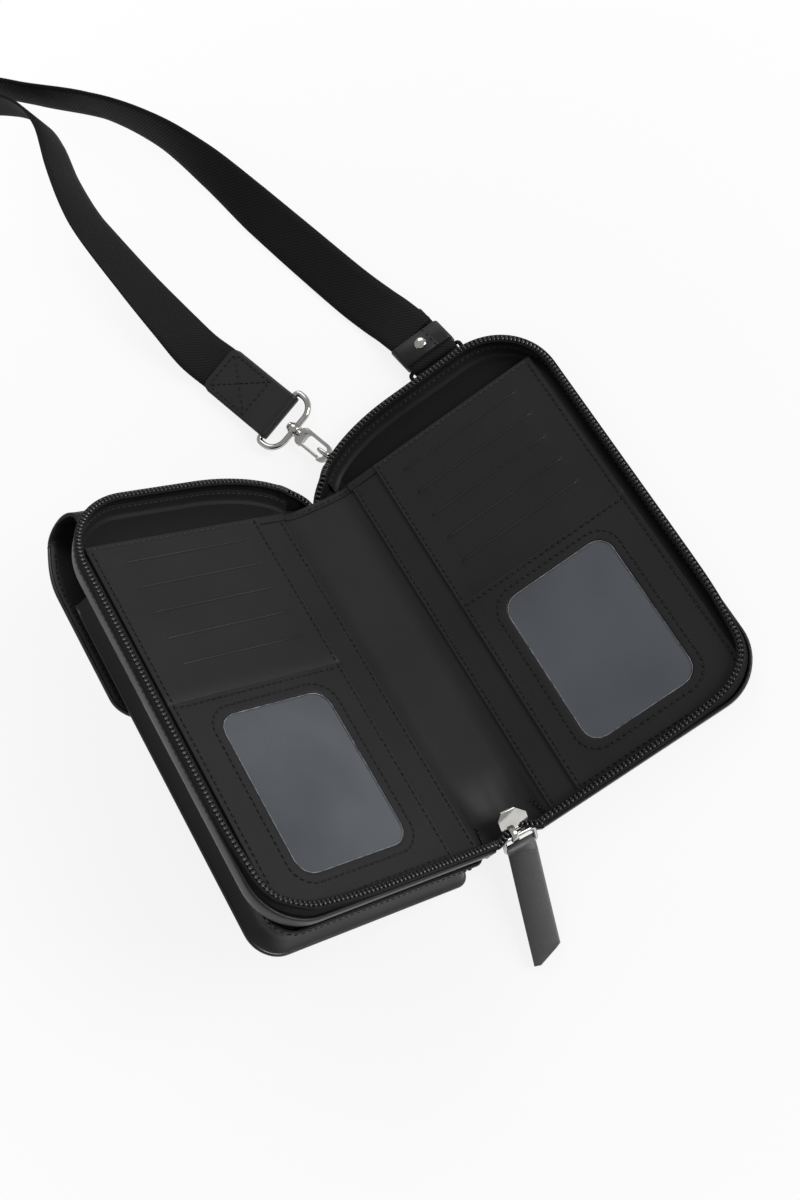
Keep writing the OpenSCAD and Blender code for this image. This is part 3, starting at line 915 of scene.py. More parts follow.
@dataclass(frozen=True)
class Cloth(Finish):
    """Woven cloth: lining, zip tape, thread and webbing, with painted shade in the weave's grooves.

    Attributes:
        pitch: how many threads there are along a metre.
        depth: how deep the weave is, in metres.
        coordinates: what the weave is laid on.
        shine: how strongly it reflects.
    """

    pitch: float = 1400.0
    depth: float = 0.00008
    coordinates: Coordinates = Coordinates.OBJECT
    shine: float = 0.2

    def make(self, groups: Groups) -> bpy.types.Material:
        """Make the material.

        Args:
            groups: the effects that materials share.

        Returns:
            The material.
        """
        material, work, shader = self.start()
        coord = work.add("ShaderNodeTexCoord").outputs[self.coordinates.value]
        weave = work.add("ShaderNodeGroup", {"Vector": coord, "Scale": self.pitch}, node_tree=groups.weave)
        wear = work.add("ShaderNodeGroup", node_tree=groups.wear)
        work.feed(wear, {"Vector": work.add("ShaderNodeTexCoord").outputs["Object"]})
        # Painted shade: the colour is dark in the weave's grooves and light on its raised threads.
        share = work.math(
            "MULTIPLY", weave.outputs["Height"], work.remap(wear.outputs["Cloud"], 0, 1, 0.6, 1.0),
        )
        base = work.mix(share, self.rgba(self.dark), self.rgba(self.light))
        rough = work.remap(weave.outputs["Height"], 0.0, 1.0, self.rough[1], self.rough[0])
        bump = work.bump(weave.outputs["Height"], 0.8, self.depth)
        work.feed(shader, {
            "Base Color": base, "Roughness": rough, "Normal": bump, "Sheen Weight": 0.02,
            "Sheen Roughness": 0.4, "Specular IOR Level": self.shine,
        })
        return material


@dataclass(frozen=True)
class Metal(Finish):
    """Polished plate with fine scuffs, and a painted dark reflection at a grazing view.

    Attributes:
        edge: how much the painted dark reflection darkens the colour at a grazing view.
    """

    edge: float = 0.85

    def make(self, groups: Groups) -> bpy.types.Material:
        """Make the material.

        Args:
            groups: the effects that materials share.

        Returns:
            The material.
        """
        material, work, shader = self.start()
        coord = work.add("ShaderNodeTexCoord").outputs["Object"]
        wear = work.add("ShaderNodeGroup", {"Vector": coord, "Scale": 160.0}, node_tree=groups.wear)
        scratch = work.noise(coord, 1800.0, 2.0, Distortion=1.5)
        base = work.mix(wear.outputs["Cloud"], self.rgba(self.dark), self.rgba(self.light))
        # Painted reflection: the colour darkens at a grazing view, standing in for dark surroundings mirrored
        # in the metal.
        turned = work.add("ShaderNodeLayerWeight", {"Blend": 0.5}).outputs["Facing"]
        painted_dark_reflection = work.remap(turned, 0.38, 0.72, 0.0, self.edge)
        base = work.mix(painted_dark_reflection, base, self.rgba(tuple(c * 0.16 for c in self.dark)))
        rough = work.remap(wear.outputs["Cloud"], 0.0, 1.0, self.rough[0], self.rough[1])
        bump = work.bump(scratch.outputs[0], 0.12, 0.00001)
        work.feed(
            shader, {"Base Color": base, "Roughness": rough, "Normal": bump, "Metallic": 1.0},
        )
        return material


@dataclass(frozen=True)
class Plastic(Finish):
    """Smooth plastic: the zip's coil and the edge paint.

    Attributes:
        bumps: how strong its slight unevenness is.
        shine: how strongly it reflects.
    """

    bumps: float = 0.15
    shine: float = 0.5

    def make(self, groups: Groups) -> bpy.types.Material:
        """Make the material.

        Args:
            groups: the effects that materials share.

        Returns:
            The material.
        """
        material, work, shader = self.start()
        coord = work.add("ShaderNodeTexCoord").outputs["Object"]
        wear = work.add("ShaderNodeGroup", {"Vector": coord, "Scale": 300.0}, node_tree=groups.wear)
        base = work.mix(wear.outputs["Cloud"], self.rgba(self.dark), self.rgba(self.light))
        rough = work.remap(wear.outputs["Cloud"], 0.0, 1.0, self.rough[0], self.rough[1])
        bump = work.bump(work.noise(coord, 2200.0, 2.0).outputs[0], self.bumps, 0.00004)
        work.feed(shader, {
            "Base Color": base, "Roughness": rough, "Normal": bump,
            "Specular IOR Level": self.shine,
        })
        return material


@dataclass(frozen=True)
class Film(Finish):
    """Clear soft film over dark leather: it shows as an even grey with faint waves."""

    def make(self) -> bpy.types.Material:
        """Make the material.

        Returns:
            The material.
        """
        material, work, shader = self.start()
        coord = work.add("ShaderNodeTexCoord").outputs["Object"]
        haze = work.noise(coord, 14.0, 3.0, Roughness=0.45)
        share = work.remap(haze.outputs[0], 0.35, 0.65)
        base = work.mix(share, self.rgba(self.dark), self.rgba(self.light))
        rough = work.remap(share, 0.0, 1.0, self.rough[0], self.rough[1])
        bump = work.bump(work.noise(coord, 14.0, 1.0).outputs[0], 0.12, 0.0006)
        work.feed(shader, {
            "Base Color": base, "Roughness": rough, "Normal": bump, "Coat Weight": 0.6,
            "Coat Roughness": 0.12,
        })
        return material


class Finishes:
    """Every material of the pouch."""

    def __init__(self) -> None:
        """Make the materials."""
        g = Groups()
        self.shell = Leather(
            "shell_leather", (0.0105, 0.0108, 0.0112), (0.0150, 0.0152, 0.0156), (0.36, 0.48), grain=1250.0,
            depth=0.00006, shine=0.34,
        ).make(g)
        self.inner = Leather(
            "inner_leather", (0.0115, 0.0112, 0.0120), (0.0155, 0.0152, 0.0162), (0.46, 0.56), grain=1700.0,
            depth=0.00004,
        ).make(g)
        self.lining = Cloth(
            "lining_cloth", (0.006, 0.006, 0.007), (0.013, 0.013, 0.0145), (0.7, 0.85), pitch=1100.0,
        ).make(g)
        self.tape = Cloth(
            "zip_tape", (0.003, 0.003, 0.0035), (0.012, 0.012, 0.013), (0.6, 0.8), pitch=1000.0,
            depth=0.00012,
        ).make(g)
        self.thread = Cloth(
            "thread", (0.0008, 0.0008, 0.001), (0.0045, 0.0045, 0.005), (0.24, 0.4), pitch=2400.0, shine=0.34,
        ).make(g)
        # A lighter copy of the thread: its colour is a painted highlight where the thread catches the light.
        self.hem_thread = Cloth(
            "hem_thread", (0.012, 0.012, 0.0125), (0.040, 0.040, 0.042), (0.3, 0.5), pitch=2400.0, shine=0.4,
        ).make(g)
        self.webbing = Cloth(
            "webbing", (0.0022, 0.0022, 0.0025), (0.0115, 0.0115, 0.0122), (0.6, 0.8), pitch=500.0,
            coordinates=Coordinates.SURFACE,
        ).make(g)
        self.coil = Plastic(
            "zip_coil", (0.0025, 0.0025, 0.003), (0.006, 0.006, 0.007), (0.14, 0.24), bumps=0.05, shine=0.7,
        ).make(g)
        self.paint = Plastic(
            "edge_paint", (0.003, 0.003, 0.0035), (0.007, 0.007, 0.008), (0.22, 0.34), bumps=0.2, shine=0.6,
        ).make(g)
        self.nickel = Metal("nickel", (0.50, 0.49, 0.47), (0.66, 0.65, 0.62), (0.07, 0.16)).make(g)
        # A light leather for the slot edges: its colour is a painted highlight where the cut edges catch the
        # light.
        self.lip = Leather(
            "slot_edge", (0.008, 0.008, 0.0085), (0.036, 0.036, 0.038), (0.34, 0.44), shine=0.5,
        ).make(g)
        # A lit copy of the shell leather: the puller's much lighter colour is painted light on its upturned
        # face.
        self.puller = Leather(
            "puller_leather", (0.086, 0.086, 0.087), (0.104, 0.104, 0.106), (0.4, 0.5), grain=1250.0,
            depth=0.00006, shine=0.34,
        ).make(g)
        # A light plastic for the film's cut edge: its colour is a painted highlight.
        self.film_edge = Plastic("film_edge", (0.07, 0.073, 0.08), (0.30, 0.31, 0.33), (0.15, 0.3)).make(g)
        self.black = Metal("black_nickel", (0.010, 0.010, 0.011), (0.018, 0.018, 0.020), (0.25, 0.4)).make(g)
        self.film = Film("clear_film", (0.046, 0.051, 0.062), (0.070, 0.077, 0.090), (0.2, 0.3)).make()


# Repeats along a line


@dataclass(frozen=True)
class Stitch:
    """A stitch and how it repeats.

    Attributes:
        length: its length, in metres.
        width: its thread's width, in metres.
        pitch: the step from one stitch to the next, in millimetres.
        turn: how far each stitch is turned out of its line, in radians.
        unevenness: how far a stitch's turn may differ, in radians.
    """

    length: float = 0.0022
    width: float = 0.00082
    pitch: float = 3.0
    turn: float = 0.1
    unevenness: float = 0.08

    def mesh(self) -> bpy.types.Mesh:
        """One stitch: a short thread that dives at both ends, along X and on top of Z.

        Returns:
            Its mesh.
        """
        half, r, sides = self.length / 2, self.width / 2, 6
        rings = [
            [
                (
                    x, r * k * math.cos(math.tau * i / sides),
                    r * z + r * 0.8 * k * math.sin(math.tau * i / sides),
                )
                for i in range(sides)
            ]
            for x, z, k in (
                (-half, -0.9, 0.45), (-half * 0.72, 0.15, 0.85), (0.0, 0.45, 1.0), (half * 0.72, 0.15, 0.85),
                (half, -0.9, 0.45),
            )
        ]
        last = (len(rings) - 1) * sides
        faces = ring_faces(len(rings), sides) + [list(range(sides))[::-1], [last + k for k in range(sides)]]
        mesh = bpy.data.meshes.new("stitch")
        mesh.from_pydata([p for ring in rings for p in ring], [], faces)
        mesh.polygons.foreach_set("use_smooth", [True] * len(mesh.polygons))
        return mesh


@dataclass(frozen=True)
class Chain:
    """The thread through the zip's teeth and the tape's two beads beside them, in millimetres.

    Attributes:
        inset: how far the teeth's middle lies inside the rim.
        foot: the height of the teeth's foot over the back.
        core: the height of the thread's middle.
        core_r: the thread's radius.
        bead: the height of the beads' middles.
        bead_out: how far they lie from the teeth's middle.
        bead_r: their radius.
    """

    inset: float = 1.2
    foot: float = 12.45
    core: float = 12.9
    core_r: float = 0.62
    bead: float = 12.85
    bead_out: float = 1.2
    bead_r: float = 0.6


CHAIN = Chain()


class Stitching(Enum):
    """The kinds of stitching on the pouch."""

    PANEL = Stitch()
    LINING = Stitch(0.0021, 0.0007, 2.7, 0.18, 0.12)
    RIM = Stitch(0.0021, 0.0006, 3.0, 0.0, 0.06)
    LEAF_HEM = Stitch(0.0022, 0.0007, 2.9, 0.35, 0.12)
    SPINE_HEM = Stitch(0.0023, 0.0008, 2.9, 0.35, 0.12)
    ZIP_END = Stitch(0.0018, 0.0006, 2.2, 0.1, 0.1)
    TACK = Stitch(0.0019, 0.0011, 1.9, 0.3, 0.2)
    KEEPER = Stitch(0.0019, 0.0006, 2.6, 0.1, 0.05)
    STRAP_END = Stitch(0.0022, 0.0007, 3.0, 0.1, 0.06)


@dataclass(frozen=True)
class Tooth:
    """One turn of the zip's coil and how it repeats.

    Attributes:
        length: its length across the chain, in metres.
        width: its width along the chain, in metres.
        height: its height, in metres.
        pitch: the step from one turn to the next, in millimetres.
        turn: how far each one is turned out of its line, in radians.
    """

    length: float = 0.0024
    width: float = 0.00165
    height: float = 0.0016
    pitch: float = 2.05
    turn: float = 0.16

    def mesh(self) -> bpy.types.Mesh:
        """A smooth rounded bar across the line, along Y.

        Returns:
            Its mesh.
        """
        sides = 8
        rings = [
            [
                (
                    self.width / 2 * k * math.cos(math.tau * i / sides), y * self.length,
                    self.height / 2 * (1 + k * math.sin(math.tau * i / sides)),
                )
                for i in range(sides)
            ]
            for y, k in (
                (-0.5, 0.35), (-0.44, 0.72), (-0.3, 0.95), (0.0, 1.0), (0.3, 0.95), (0.44, 0.72), (0.5, 0.35),
            )
        ]
        last = (len(rings) - 1) * sides
        faces = ring_faces(len(rings), sides) + [list(range(sides)), [last + k for k in range(sides)][::-1]]
        mesh = bpy.data.meshes.new("tooth")
        mesh.from_pydata([p for ring in rings for p in ring], [], faces)
        bm = bmesh.new()
        bm.from_mesh(mesh)
        bmesh.ops.recalc_face_normals(bm, faces=bm.faces)
        bm.to_mesh(mesh)
        bm.free()
        mesh.polygons.foreach_set("use_smooth", [True] * len(mesh.polygons))
        return mesh


@dataclass
class Row:
    """A line along which something repeats.

    Attributes:
        line: its points, in metres.
        up: the direction out of the surface, one for all points or one for each.
    """

    line: list[Vector]
    up: Vector | list[Vector]


class Repeater:
    """A Geometry Nodes tree that sets copies of a small mesh along lines, one modifier for each use."""

    def __init__(self) -> None:
        """Build the tree."""
        tree = bpy.data.node_groups.new("repeat_along_lines", "GeometryNodeTree")
        face = tree.interface
        face.new_socket(name="Geometry", in_out="INPUT", socket_type="NodeSocketGeometry")
        face.new_socket(name="Copy", in_out="INPUT", socket_type="NodeSocketObject")
        face.new_socket(name="Pitch", in_out="INPUT", socket_type="NodeSocketFloat")
        face.new_socket(name="Turn", in_out="INPUT", socket_type="NodeSocketFloat")
        face.new_socket(name="Unevenness", in_out="INPUT", socket_type="NodeSocketFloat")
        face.new_socket(name="Material", in_out="INPUT", socket_type="NodeSocketMaterial")
        face.new_socket(name="Geometry", in_out="OUTPUT", socket_type="NodeSocketGeometry")
        self.tree = tree
        work = Tree(tree)
        source = work.add("NodeGroupInput")
        curve = work.add("GeometryNodeMeshToCurve", {"Mesh": source.outputs["Geometry"]})
        even = work.add(
            "GeometryNodeResampleCurve", {"Curve": curve.outputs[0], "Length": source.outputs["Pitch"]},
            mode="LENGTH",
        )
        up = work.add("GeometryNodeInputNamedAttribute", {"Name": "up"}, data_type="FLOAT_VECTOR")
        tangent = work.add("GeometryNodeInputTangent")
        along = work.add("FunctionNodeAlignRotationToVector", {"Vector": tangent.outputs[0]}, axis="X")
        stood = work.add(
            "FunctionNodeAlignRotationToVector", {"Rotation": along.outputs[0], "Vector": up.outputs[0]},
            axis="Z", pivot_axis="X",
        )
        wobble = work.add("FunctionNodeRandomValue", data_type="FLOAT")
        numbers = [s for s in wobble.inputs if s.enabled and s.type == "VALUE"]
        work.tree.links.new(work.math("MULTIPLY", source.outputs["Unevenness"], -1.0), numbers[0])
        work.tree.links.new(source.outputs["Unevenness"], numbers[1])
        wobble.inputs["Seed"].default_value = 7
        spin = work.math("ADD", source.outputs["Turn"], next(s for s in wobble.outputs if s.enabled))
        turn = work.add("ShaderNodeCombineXYZ", {"Z": spin})
        turned = work.add(
            "FunctionNodeRotateRotation", {"Rotation": stood.outputs[0]}, rotation_space="LOCAL",
        )
        euler = work.add("FunctionNodeEulerToRotation", {0: turn.outputs[0]})
        work.tree.links.new(euler.outputs[0], turned.inputs["Rotate By"])
        info = work.add("GeometryNodeObjectInfo", {"Object": source.outputs["Copy"]})
        put = work.add(
            "GeometryNodeInstanceOnPoints",
            {"Points": even.outputs[0], "Instance": info.outputs["Geometry"], "Rotation": turned.outputs[0]},
        )
        real = work.add("GeometryNodeRealizeInstances", {"Geometry": put.outputs[0]})
        dress = work.add(
            "GeometryNodeSetMaterial", {"Geometry": real.outputs[0], "Material": source.outputs["Material"]},
        )
        work.add("NodeGroupOutput", {"Geometry": dress.outputs[0]})

    def sew(
        self, name: str, rows: Sequence[Row], kind: Stitching, material: bpy.types.Material,
    ) -> bpy.types.Object:
        """Stitch along lines.

        Args:
            name: the stitches' name.
            rows: the lines.
            kind: the kind of stitching.
            material: the thread.

        Returns:
            The stitches.
        """
        stitch = kind.value
        return self.run(name, rows, stitch.mesh(), stitch.pitch, material, stitch.turn, stitch.unevenness)

    def coil(self, name: str, line: Row, material: bpy.types.Material) -> bpy.types.Object:
        """Set the turns of the zip's coil along a line.

        Args:
            name: the coil's name.
            line: its line.
            material: its material.

        Returns:
            The coil.
        """
        tooth = Tooth()
        return self.run(name, [line], tooth.mesh(), tooth.pitch, material, tooth.turn, 0.0)

    def run(
        self, name: str, rows: Sequence[Row], copy: bpy.types.Mesh, pitch: float,
        material: bpy.types.Material, turn: float, unevenness: float,
    ) -> bpy.types.Object:
        """Set copies along lines and keep the result as a plain mesh.

        Args:
            name: the result's name.
            rows: the lines.
            copy: the mesh that repeats.
            pitch: the step from one copy to the next, in millimetres.
            material: the copies' material.
            turn: each copy's turn about up, in radians.
            unevenness: how far a copy's turn may differ, in radians.

        Returns:
            The object.
        """
        points, edges, ups = [], [], []
        for row in rows:
            start = len(points)
            points += [tuple(p) for p in row.line]
            edges += [(start + i, start + i + 1) for i in range(len(row.line) - 1)]
            ups += [row.up] * len(row.line) if isinstance(row.up, Vector) else row.up
        mesh = bpy.data.meshes.new(name)
        mesh.from_pydata(points, edges, [])
        data = mesh.attributes.new("up", "FLOAT_VECTOR", "POINT")
        data.data.foreach_set("vector", [c for v in ups for c in v])
        obj = new_object(name, mesh)
        pattern = bpy.data.objects.new(name + "_copy", copy)
        bpy.context.scene.collection.objects.link(pattern)
        mod = obj.modifiers.new("repeat", "NODES")
        mod.node_group = self.tree
        sockets = {s.name: s.identifier for s in self.tree.interface.items_tree if s.in_out == "INPUT"}
        mod[sockets["Copy"]] = pattern
        mod[sockets["Pitch"]] = pitch * MM
        mod[sockets["Turn"]] = turn
        mod[sockets["Unevenness"]] = unevenness
        mod[sockets["Material"]] = material
        bake(obj)
        bpy.data.objects.remove(pattern)
        if not obj.data.materials:
            obj.data.materials.append(material)
        return obj


# The webbing strap


@dataclass(frozen=True)
class RouteStop:
    """A stop of the webbing's route, in millimetres: its place, its tilt in degrees and its raise."""

    x: float
    y: float
    tilt: float = 0.0
    raised: float = 0.1


@dataclass
class Strap:
    """The webbing strap, its turned end, keeper, leather end and snap hook.

    Attributes:
        width: the webbing's width.
        thickness: the webbing's thickness.
        lift: how far the webbing lies over the table.
        rib: the pitch of the webbing's cross ribs.
        hook_at: the place of the hook frame's bar.
        hook_turn: how far the hook is turned, in degrees.
        hook_z: the height of the hook frame's wire.
        ring_in: the strap ring's place across the row's frame.
        ring_y: the height of the strap ring's outer bar.
        ring_z: the height of the strap ring's wire.
        skew: how much the turned end leans across, for each millimetre along.
    """

    width: float = 24.0
    thickness: float = 1.6
    lift: float = 0.1
    rib: float = 1.05
    hook_at: tuple[float, float] = (-17.85, 145.21)
    hook_turn: float = 16.5
    hook_z: float = 4.2
    ring_in: float = 60.0
    ring_y: float = 120.7
    ring_z: float = 4.7
    skew: float = 0.155
    stops: tuple[RouteStop, ...] = (
        RouteStop(-28.08, 179.73, 0, 1.5), RouteStop(-30.35, 187.40, 0, 1.5), RouteStop(-35, 202, 12, 0),
        RouteStop(-38, 220, 28, 0), RouteStop(-43, 252, 42, 0), RouteStop(-48, 290, 52, 0),
        RouteStop(-49, 310, 62, 0), RouteStop(-47, 335, 74, 0), RouteStop(-43, 360, 83, 0),
        RouteStop(-45, 378, 86, 0), RouteStop(-55, 396, 90, 0), RouteStop(-76, 412, 90, 0),
        RouteStop(-105, 411, 90, 0), RouteStop(-145, 401, 90, 0), RouteStop(-180, 405, 90, 0),
        RouteStop(-210, 426, 90, 0), RouteStop(-226, 462, 90, 0), RouteStop(-218, 502, 90, 0),
        RouteStop(-188, 531, 90, 0), RouteStop(-150, 539, 90, 0), RouteStop(-112, 526, 90, 0),
        RouteStop(-84, 496, 90, 0), RouteStop(-69, 456, 90, 0), RouteStop(-60, 420, 90, 0),
        RouteStop(-40, 391, 90, 0), RouteStop(-12, 356, 86, 0), RouteStop(7, 321, 70, 0),
        RouteStop(19, 285, 48, 0), RouteStop(28, 247, 30, 0), RouteStop(36, 214, 22, 0),
        RouteStop(45, 178, 16, 0), RouteStop(50.5, 160, 9, 0.6), RouteStop(53.9, 149.7, 2, 3.0),
        RouteStop(57.52, 136.7, 0, 3.6),
    )

    def middle(self) -> list[tuple[Vector, Vector, float]]:
        """The webbing's middle line.

        Returns:
            Each point in millimetres, the direction of its run, and its tilt in radians.
        """
        flat = spline([(s.x, s.y) for s in self.stops], 24)
        bank = [
            (a.tilt + (b.tilt - a.tilt) * k / 24, a.raised + (b.raised - a.raised) * k / 24)
            for a, b in zip(self.stops, self.stops[1:]) for k in range(24)
        ] + [(self.stops[-1].tilt, self.stops[-1].raised)]
        out = []
        for i, ((x, y), (tilt, raised)) in enumerate(zip(flat, bank)):
            a, b = flat[max(i - 1, 0)], flat[min(i + 1, len(flat) - 1)]
            run = Vector((b[0] - a[0], b[1] - a[1], 0)).normalized()
            t = math.radians(tilt)
            z = self.lift + raised + self.thickness / 2 * math.cos(t) + self.width / 2 * math.sin(t)
            out.append((Vector((x, y, z)), run, t))
        return out

    def even(self, pitch: float) -> list[tuple[Vector, Vector, float]]:
        """The middle line at even steps, as middle() gives it.

        Args:
            pitch: the step, in millimetres.

        Returns:
            The points, with both ends.
        """
        line = self.middle()
        out, left = [line[0]], pitch
        for (p, w, t), (q, v, u) in zip(line, line[1:]):
            length, done = (q - p).length, 0.0
            while length - done >= left and length > 0:
                done += left
                k = done / length
                out.append((p.lerp(q, k), w.lerp(v, k).normalized(), t + (u - t) * k))
                left = pitch
            left -= length - done
        out.append(line[-1])
        return out

    def section(self, point: Vector, run: Vector, tilt: float, across: float, out: float) -> Vector:
        """A point of the webbing's section, in metres.

        Args:
            point: the middle of the webbing.
            run: the direction of its run.
            tilt: its tilt in radians.
            across: how far the point is to the right of the run.
            out: how far it is over the webbing's middle.

        Returns:
            The point.
        """
        c, s = math.cos(tilt), math.sin(tilt)
        return Vector((
            point.x + across * run.y * c + out * run.y * s,
            point.y - across * run.x * c - out * run.x * s,
            point.z - across * s + out * c,
        )) * MM

    def ribbon(self) -> bpy.types.Object:
        """The webbing as a ribbed mesh with a surface map along and across it.

        Returns:
            The webbing.
        """
        line = self.even(self.rib / 2)
        half, t = self.width / 2, self.thickness / 2
        outline = (
            [(-half + 0.5, -t), (-half, -t * 0.3), (-half, t * 0.3), (-half + 0.5, t)]
            + [(-half + self.width * k / 6, t) for k in range(1, 6)]
            + [(half - 0.5, t), (half, t * 0.3), (half, -t * 0.3), (half - 0.5, -t)]
            + [(half - self.width * k / 6, -t) for k in range(1, 6)]
        )
        rings = []
        for i, (point, run, tilt) in enumerate(line):
            swell = 1.0 if i % 2 else 0.78
            rings.append([
                self.section(point, run, tilt, x, z * (swell if abs(x) < half - 0.6 else 0.95))
                for x, z in outline
            ])
        obj = loft("strap_webbing_ribbed", rings)
        layer = obj.data.uv_layers.new(name="UVMap")
        tree = {}
        for i, ring in enumerate(rings):
            for k, p in enumerate(ring):
                tree[tuple(round(c, 6) for c in p)] = (i * self.rib / 2 * MM, outline[k][0] * MM)
        for loop in obj.data.loops:
            co = obj.data.vertices[loop.vertex_index].co
            layer.data[loop.index].uv = tree.get(tuple(round(c, 6) for c in co), (0.0, 0.0))
        LOG.info("webbing: %d ribs", len(line) // 2)
        return obj

    def route(self) -> list[Vector]:
        """The points that the webbing follows, from the strap ring to the hook, in metres."""
        return [p * MM for p, _, _ in self.even(6.0)][::-1]

    def turned_end(self) -> bpy.types.Object:
        """The webbing's end that is turned round the strap ring and runs back under itself.

        Returns:
            The turned end.
        """
        outer, inner = 2.9, 1.3
        mid, half = (outer + inner) / 2, (outer - inner) / 2 * 0.97
        tail, tail_z, top, top_z = 27.0, 2.6, 16.0, 4.5
        path = [(tail * (1 - i / 30), tail_z - self.ring_z) for i in range(31)]
        path += [(-mid * math.sin(a), -mid * math.cos(a)) for a in (math.pi * k / 18 for k in range(1, 18))]
        for i in range(25):
            y = top * i / 24
            path.append((y, mid + (top_z - self.ring_z - mid) * eased(y / top)))
        fine = resample([Vector((0, y, z)) for y, z in path], self.rib / 2)
        rings = []
        outline = [(-0.48, -1.0), (-0.5, -0.3), (-0.5, 0.3), (-0.48, 1.0)]
        outline += [(-0.5 + k / 6, 1.0) for k in range(1, 6)]
        outline += [(0.48, 1.0), (0.5, 0.3), (0.5, -0.3), (0.48, -1.0)]
        outline += [(0.5 - k / 6, -1.0) for k in range(1, 6)]
        for i, p in enumerate(fine):
            a, b = fine[max(i - 1, 0)], fine[min(i + 1, len(fine) - 1)]
            way = (b - a).normalized()
            normal = Vector((0, -way.z, way.y))
            swell = 1.0 if i % 2 else 0.8
            ring = []
            for x, z in outline:
                q = p + normal * (z * half * (swell if abs(x) < 0.47 else 0.9))
                lean = -self.skew * q.y
                ring.append(
                    Vector((self.ring_in + x * self.width + lean, self.ring_y + q.y, self.ring_z + q.z)) * MM
                )
            rings.append(ring)
        obj = loft("strap_turned_end_ribbed", rings)
        layer = obj.data.uv_layers.new(name="UVMap")
        for loop in obj.data.loops:
            co = obj.data.vertices[loop.vertex_index].co
            layer.data[loop.index].uv = (co.y + co.z, co.x)
        return obj


# Camera, floor and light


@dataclass
class Studio:
    """The camera at the photograph's angle, the pale floor, the lamps and the white world.

    Attributes:
        eye: the camera's place in millimetres.
        right: the camera's right.
        down: the camera's down.
        ahead: the camera's view.
        lens: its focal length for a film whose long side is 36 mm.
        shade: the floor's least glow, near the pouch.
        shade_from: how far from the middle the glow starts to grow, in metres.
        shade_to: where it is full.
    """

    eye: Point = (83.4, -235.8, 663.5)
    right: Point = (0.8135, -0.4875, -0.3170)
    down: Point = (-0.5653, -0.7907, -0.2350)
    ahead: Point = (-0.1361, 0.3704, -0.9189)
    lens: float = 47.19
    shade: float = 0.84
    shade_from: float = 0.15
    shade_to: float = 0.44

    def camera(self) -> None:
        """Put the camera where the photograph was taken from."""
        data = bpy.data.cameras.new("photo_view")
        data.sensor_fit = "AUTO"
        data.sensor_width = 36.0
        data.lens = self.lens
        data.clip_start = 0.01
        data.clip_end = 20.0
        cam = bpy.data.objects.new("photo_view", data)
        bpy.context.scene.collection.objects.link(cam)
        rows = Matrix((self.right, -Vector(self.down), -Vector(self.ahead))).transposed()
        cam.matrix_world = Matrix.Translation(Vector(self.eye) * MM) @ rows.to_4x4()
        bpy.context.scene.camera = cam

    def floor(self) -> None:
        """Lay a pale floor that looks white to the camera and keeps the shadow."""
        size = 14.0
        mesh = bpy.data.meshes.new("floor")
        mesh.from_pydata(
            [(-size, -size, 0), (size, -size, 0), (size, size, 0), (-size, size, 0)], [], [(0, 1, 2, 3)],
        )
        obj = new_object("floor", mesh)
        material = bpy.data.materials.new("floor_paper")
        material.use_nodes = True
        work = Tree(material.node_tree)
        paper = work.add("ShaderNodeBsdfPrincipled", {"Base Color": (0.86, 0.86, 0.86, 1), "Roughness": 0.9})
        glow = work.add("ShaderNodeEmission", {"Color": (1, 1, 1, 1), "Strength": 1.0})
        path = work.add("ShaderNodeLightPath")
        seen = work.math(
            "MAXIMUM", path.outputs["Is Camera Ray"],
            work.math("MAXIMUM", path.outputs["Is Glossy Ray"], path.outputs["Is Transmission Ray"]),
        )
        place = work.add("ShaderNodeTexCoord").outputs["Object"]
        far = work.add("ShaderNodeVectorMath", {0: place}, operation="LENGTH").outputs["Value"]
        glowing = work.remap(far, self.shade_from, self.shade_to, self.shade, 1.0)
        share = work.math("MULTIPLY", seen, glowing)
        mixed = work.add("ShaderNodeMixShader", {0: share, 1: paper.outputs[0], 2: glow.outputs[0]})
        work.add("ShaderNodeOutputMaterial", {"Surface": mixed.outputs[0]})
        mesh.materials.append(material)

    def world(self) -> None:
        """A plain white world for camera and transmission rays, and a soft one for the light and for
        reflections.
        """
        world = bpy.data.worlds.new("studio")
        world.use_nodes = True
        work = Tree(world.node_tree)
        path = work.add("ShaderNodeLightPath")
        seen = work.math("MAXIMUM", path.outputs["Is Camera Ray"], path.outputs["Is Transmission Ray"])
        strength = work.remap(seen, 0.0, 1.0, 0.4, 1.0)
        back = work.add("ShaderNodeBackground", {"Color": (1, 1, 1, 1), "Strength": strength})
        work.add("ShaderNodeOutputWorld", {"Surface": back.outputs[0]})
        bpy.context.scene.world = world

    def lamp(self, name: str, place: Point, aim: Point, size: float, power: float) -> None:
        """Hang a square soft lamp.

        Args:
            name: its name.
            place: its place in metres.
            aim: the point that it shines at.
            size: its side in metres.
            power: its power in watts.
        """
        data = bpy.data.lights.new(name, "AREA")
        data.shape = "SQUARE"
        data.size = size
        data.energy = power
        obj = bpy.data.objects.new(name, data)
        bpy.context.scene.collection.objects.link(obj)
        way = Vector(aim) - Vector(place)
        turn = way.to_track_quat("-Z", "Y").to_matrix().to_4x4()
        obj.matrix_world = Matrix.Translation(Vector(place)) @ turn

    def build(self) -> None:
        """Make all of it."""
        self.camera()
        self.floor()
        self.world()
        self.lamp("key", (1.2, -0.55, 0.85), (0.0, 0.1, 0.0), 0.8, 17.0)
        self.lamp("fill", (0.5, 1.3, 0.9), (0.0, 0.1, 0.0), 0.9, 5.0)
        scene = bpy.context.scene
        scene.view_settings.view_transform = "Standard"


# The two halves


class Side(Enum):
    """The two halves of the pouch."""

    RIGHT = "right"
    LEFT = "left"

    @property
    def body(self) -> str:
        """The CAD body of the half."""
        return self.value + "_half"

    @property
    def place(self) -> Place:
        """The half's place."""
        return PLACES[self.body]


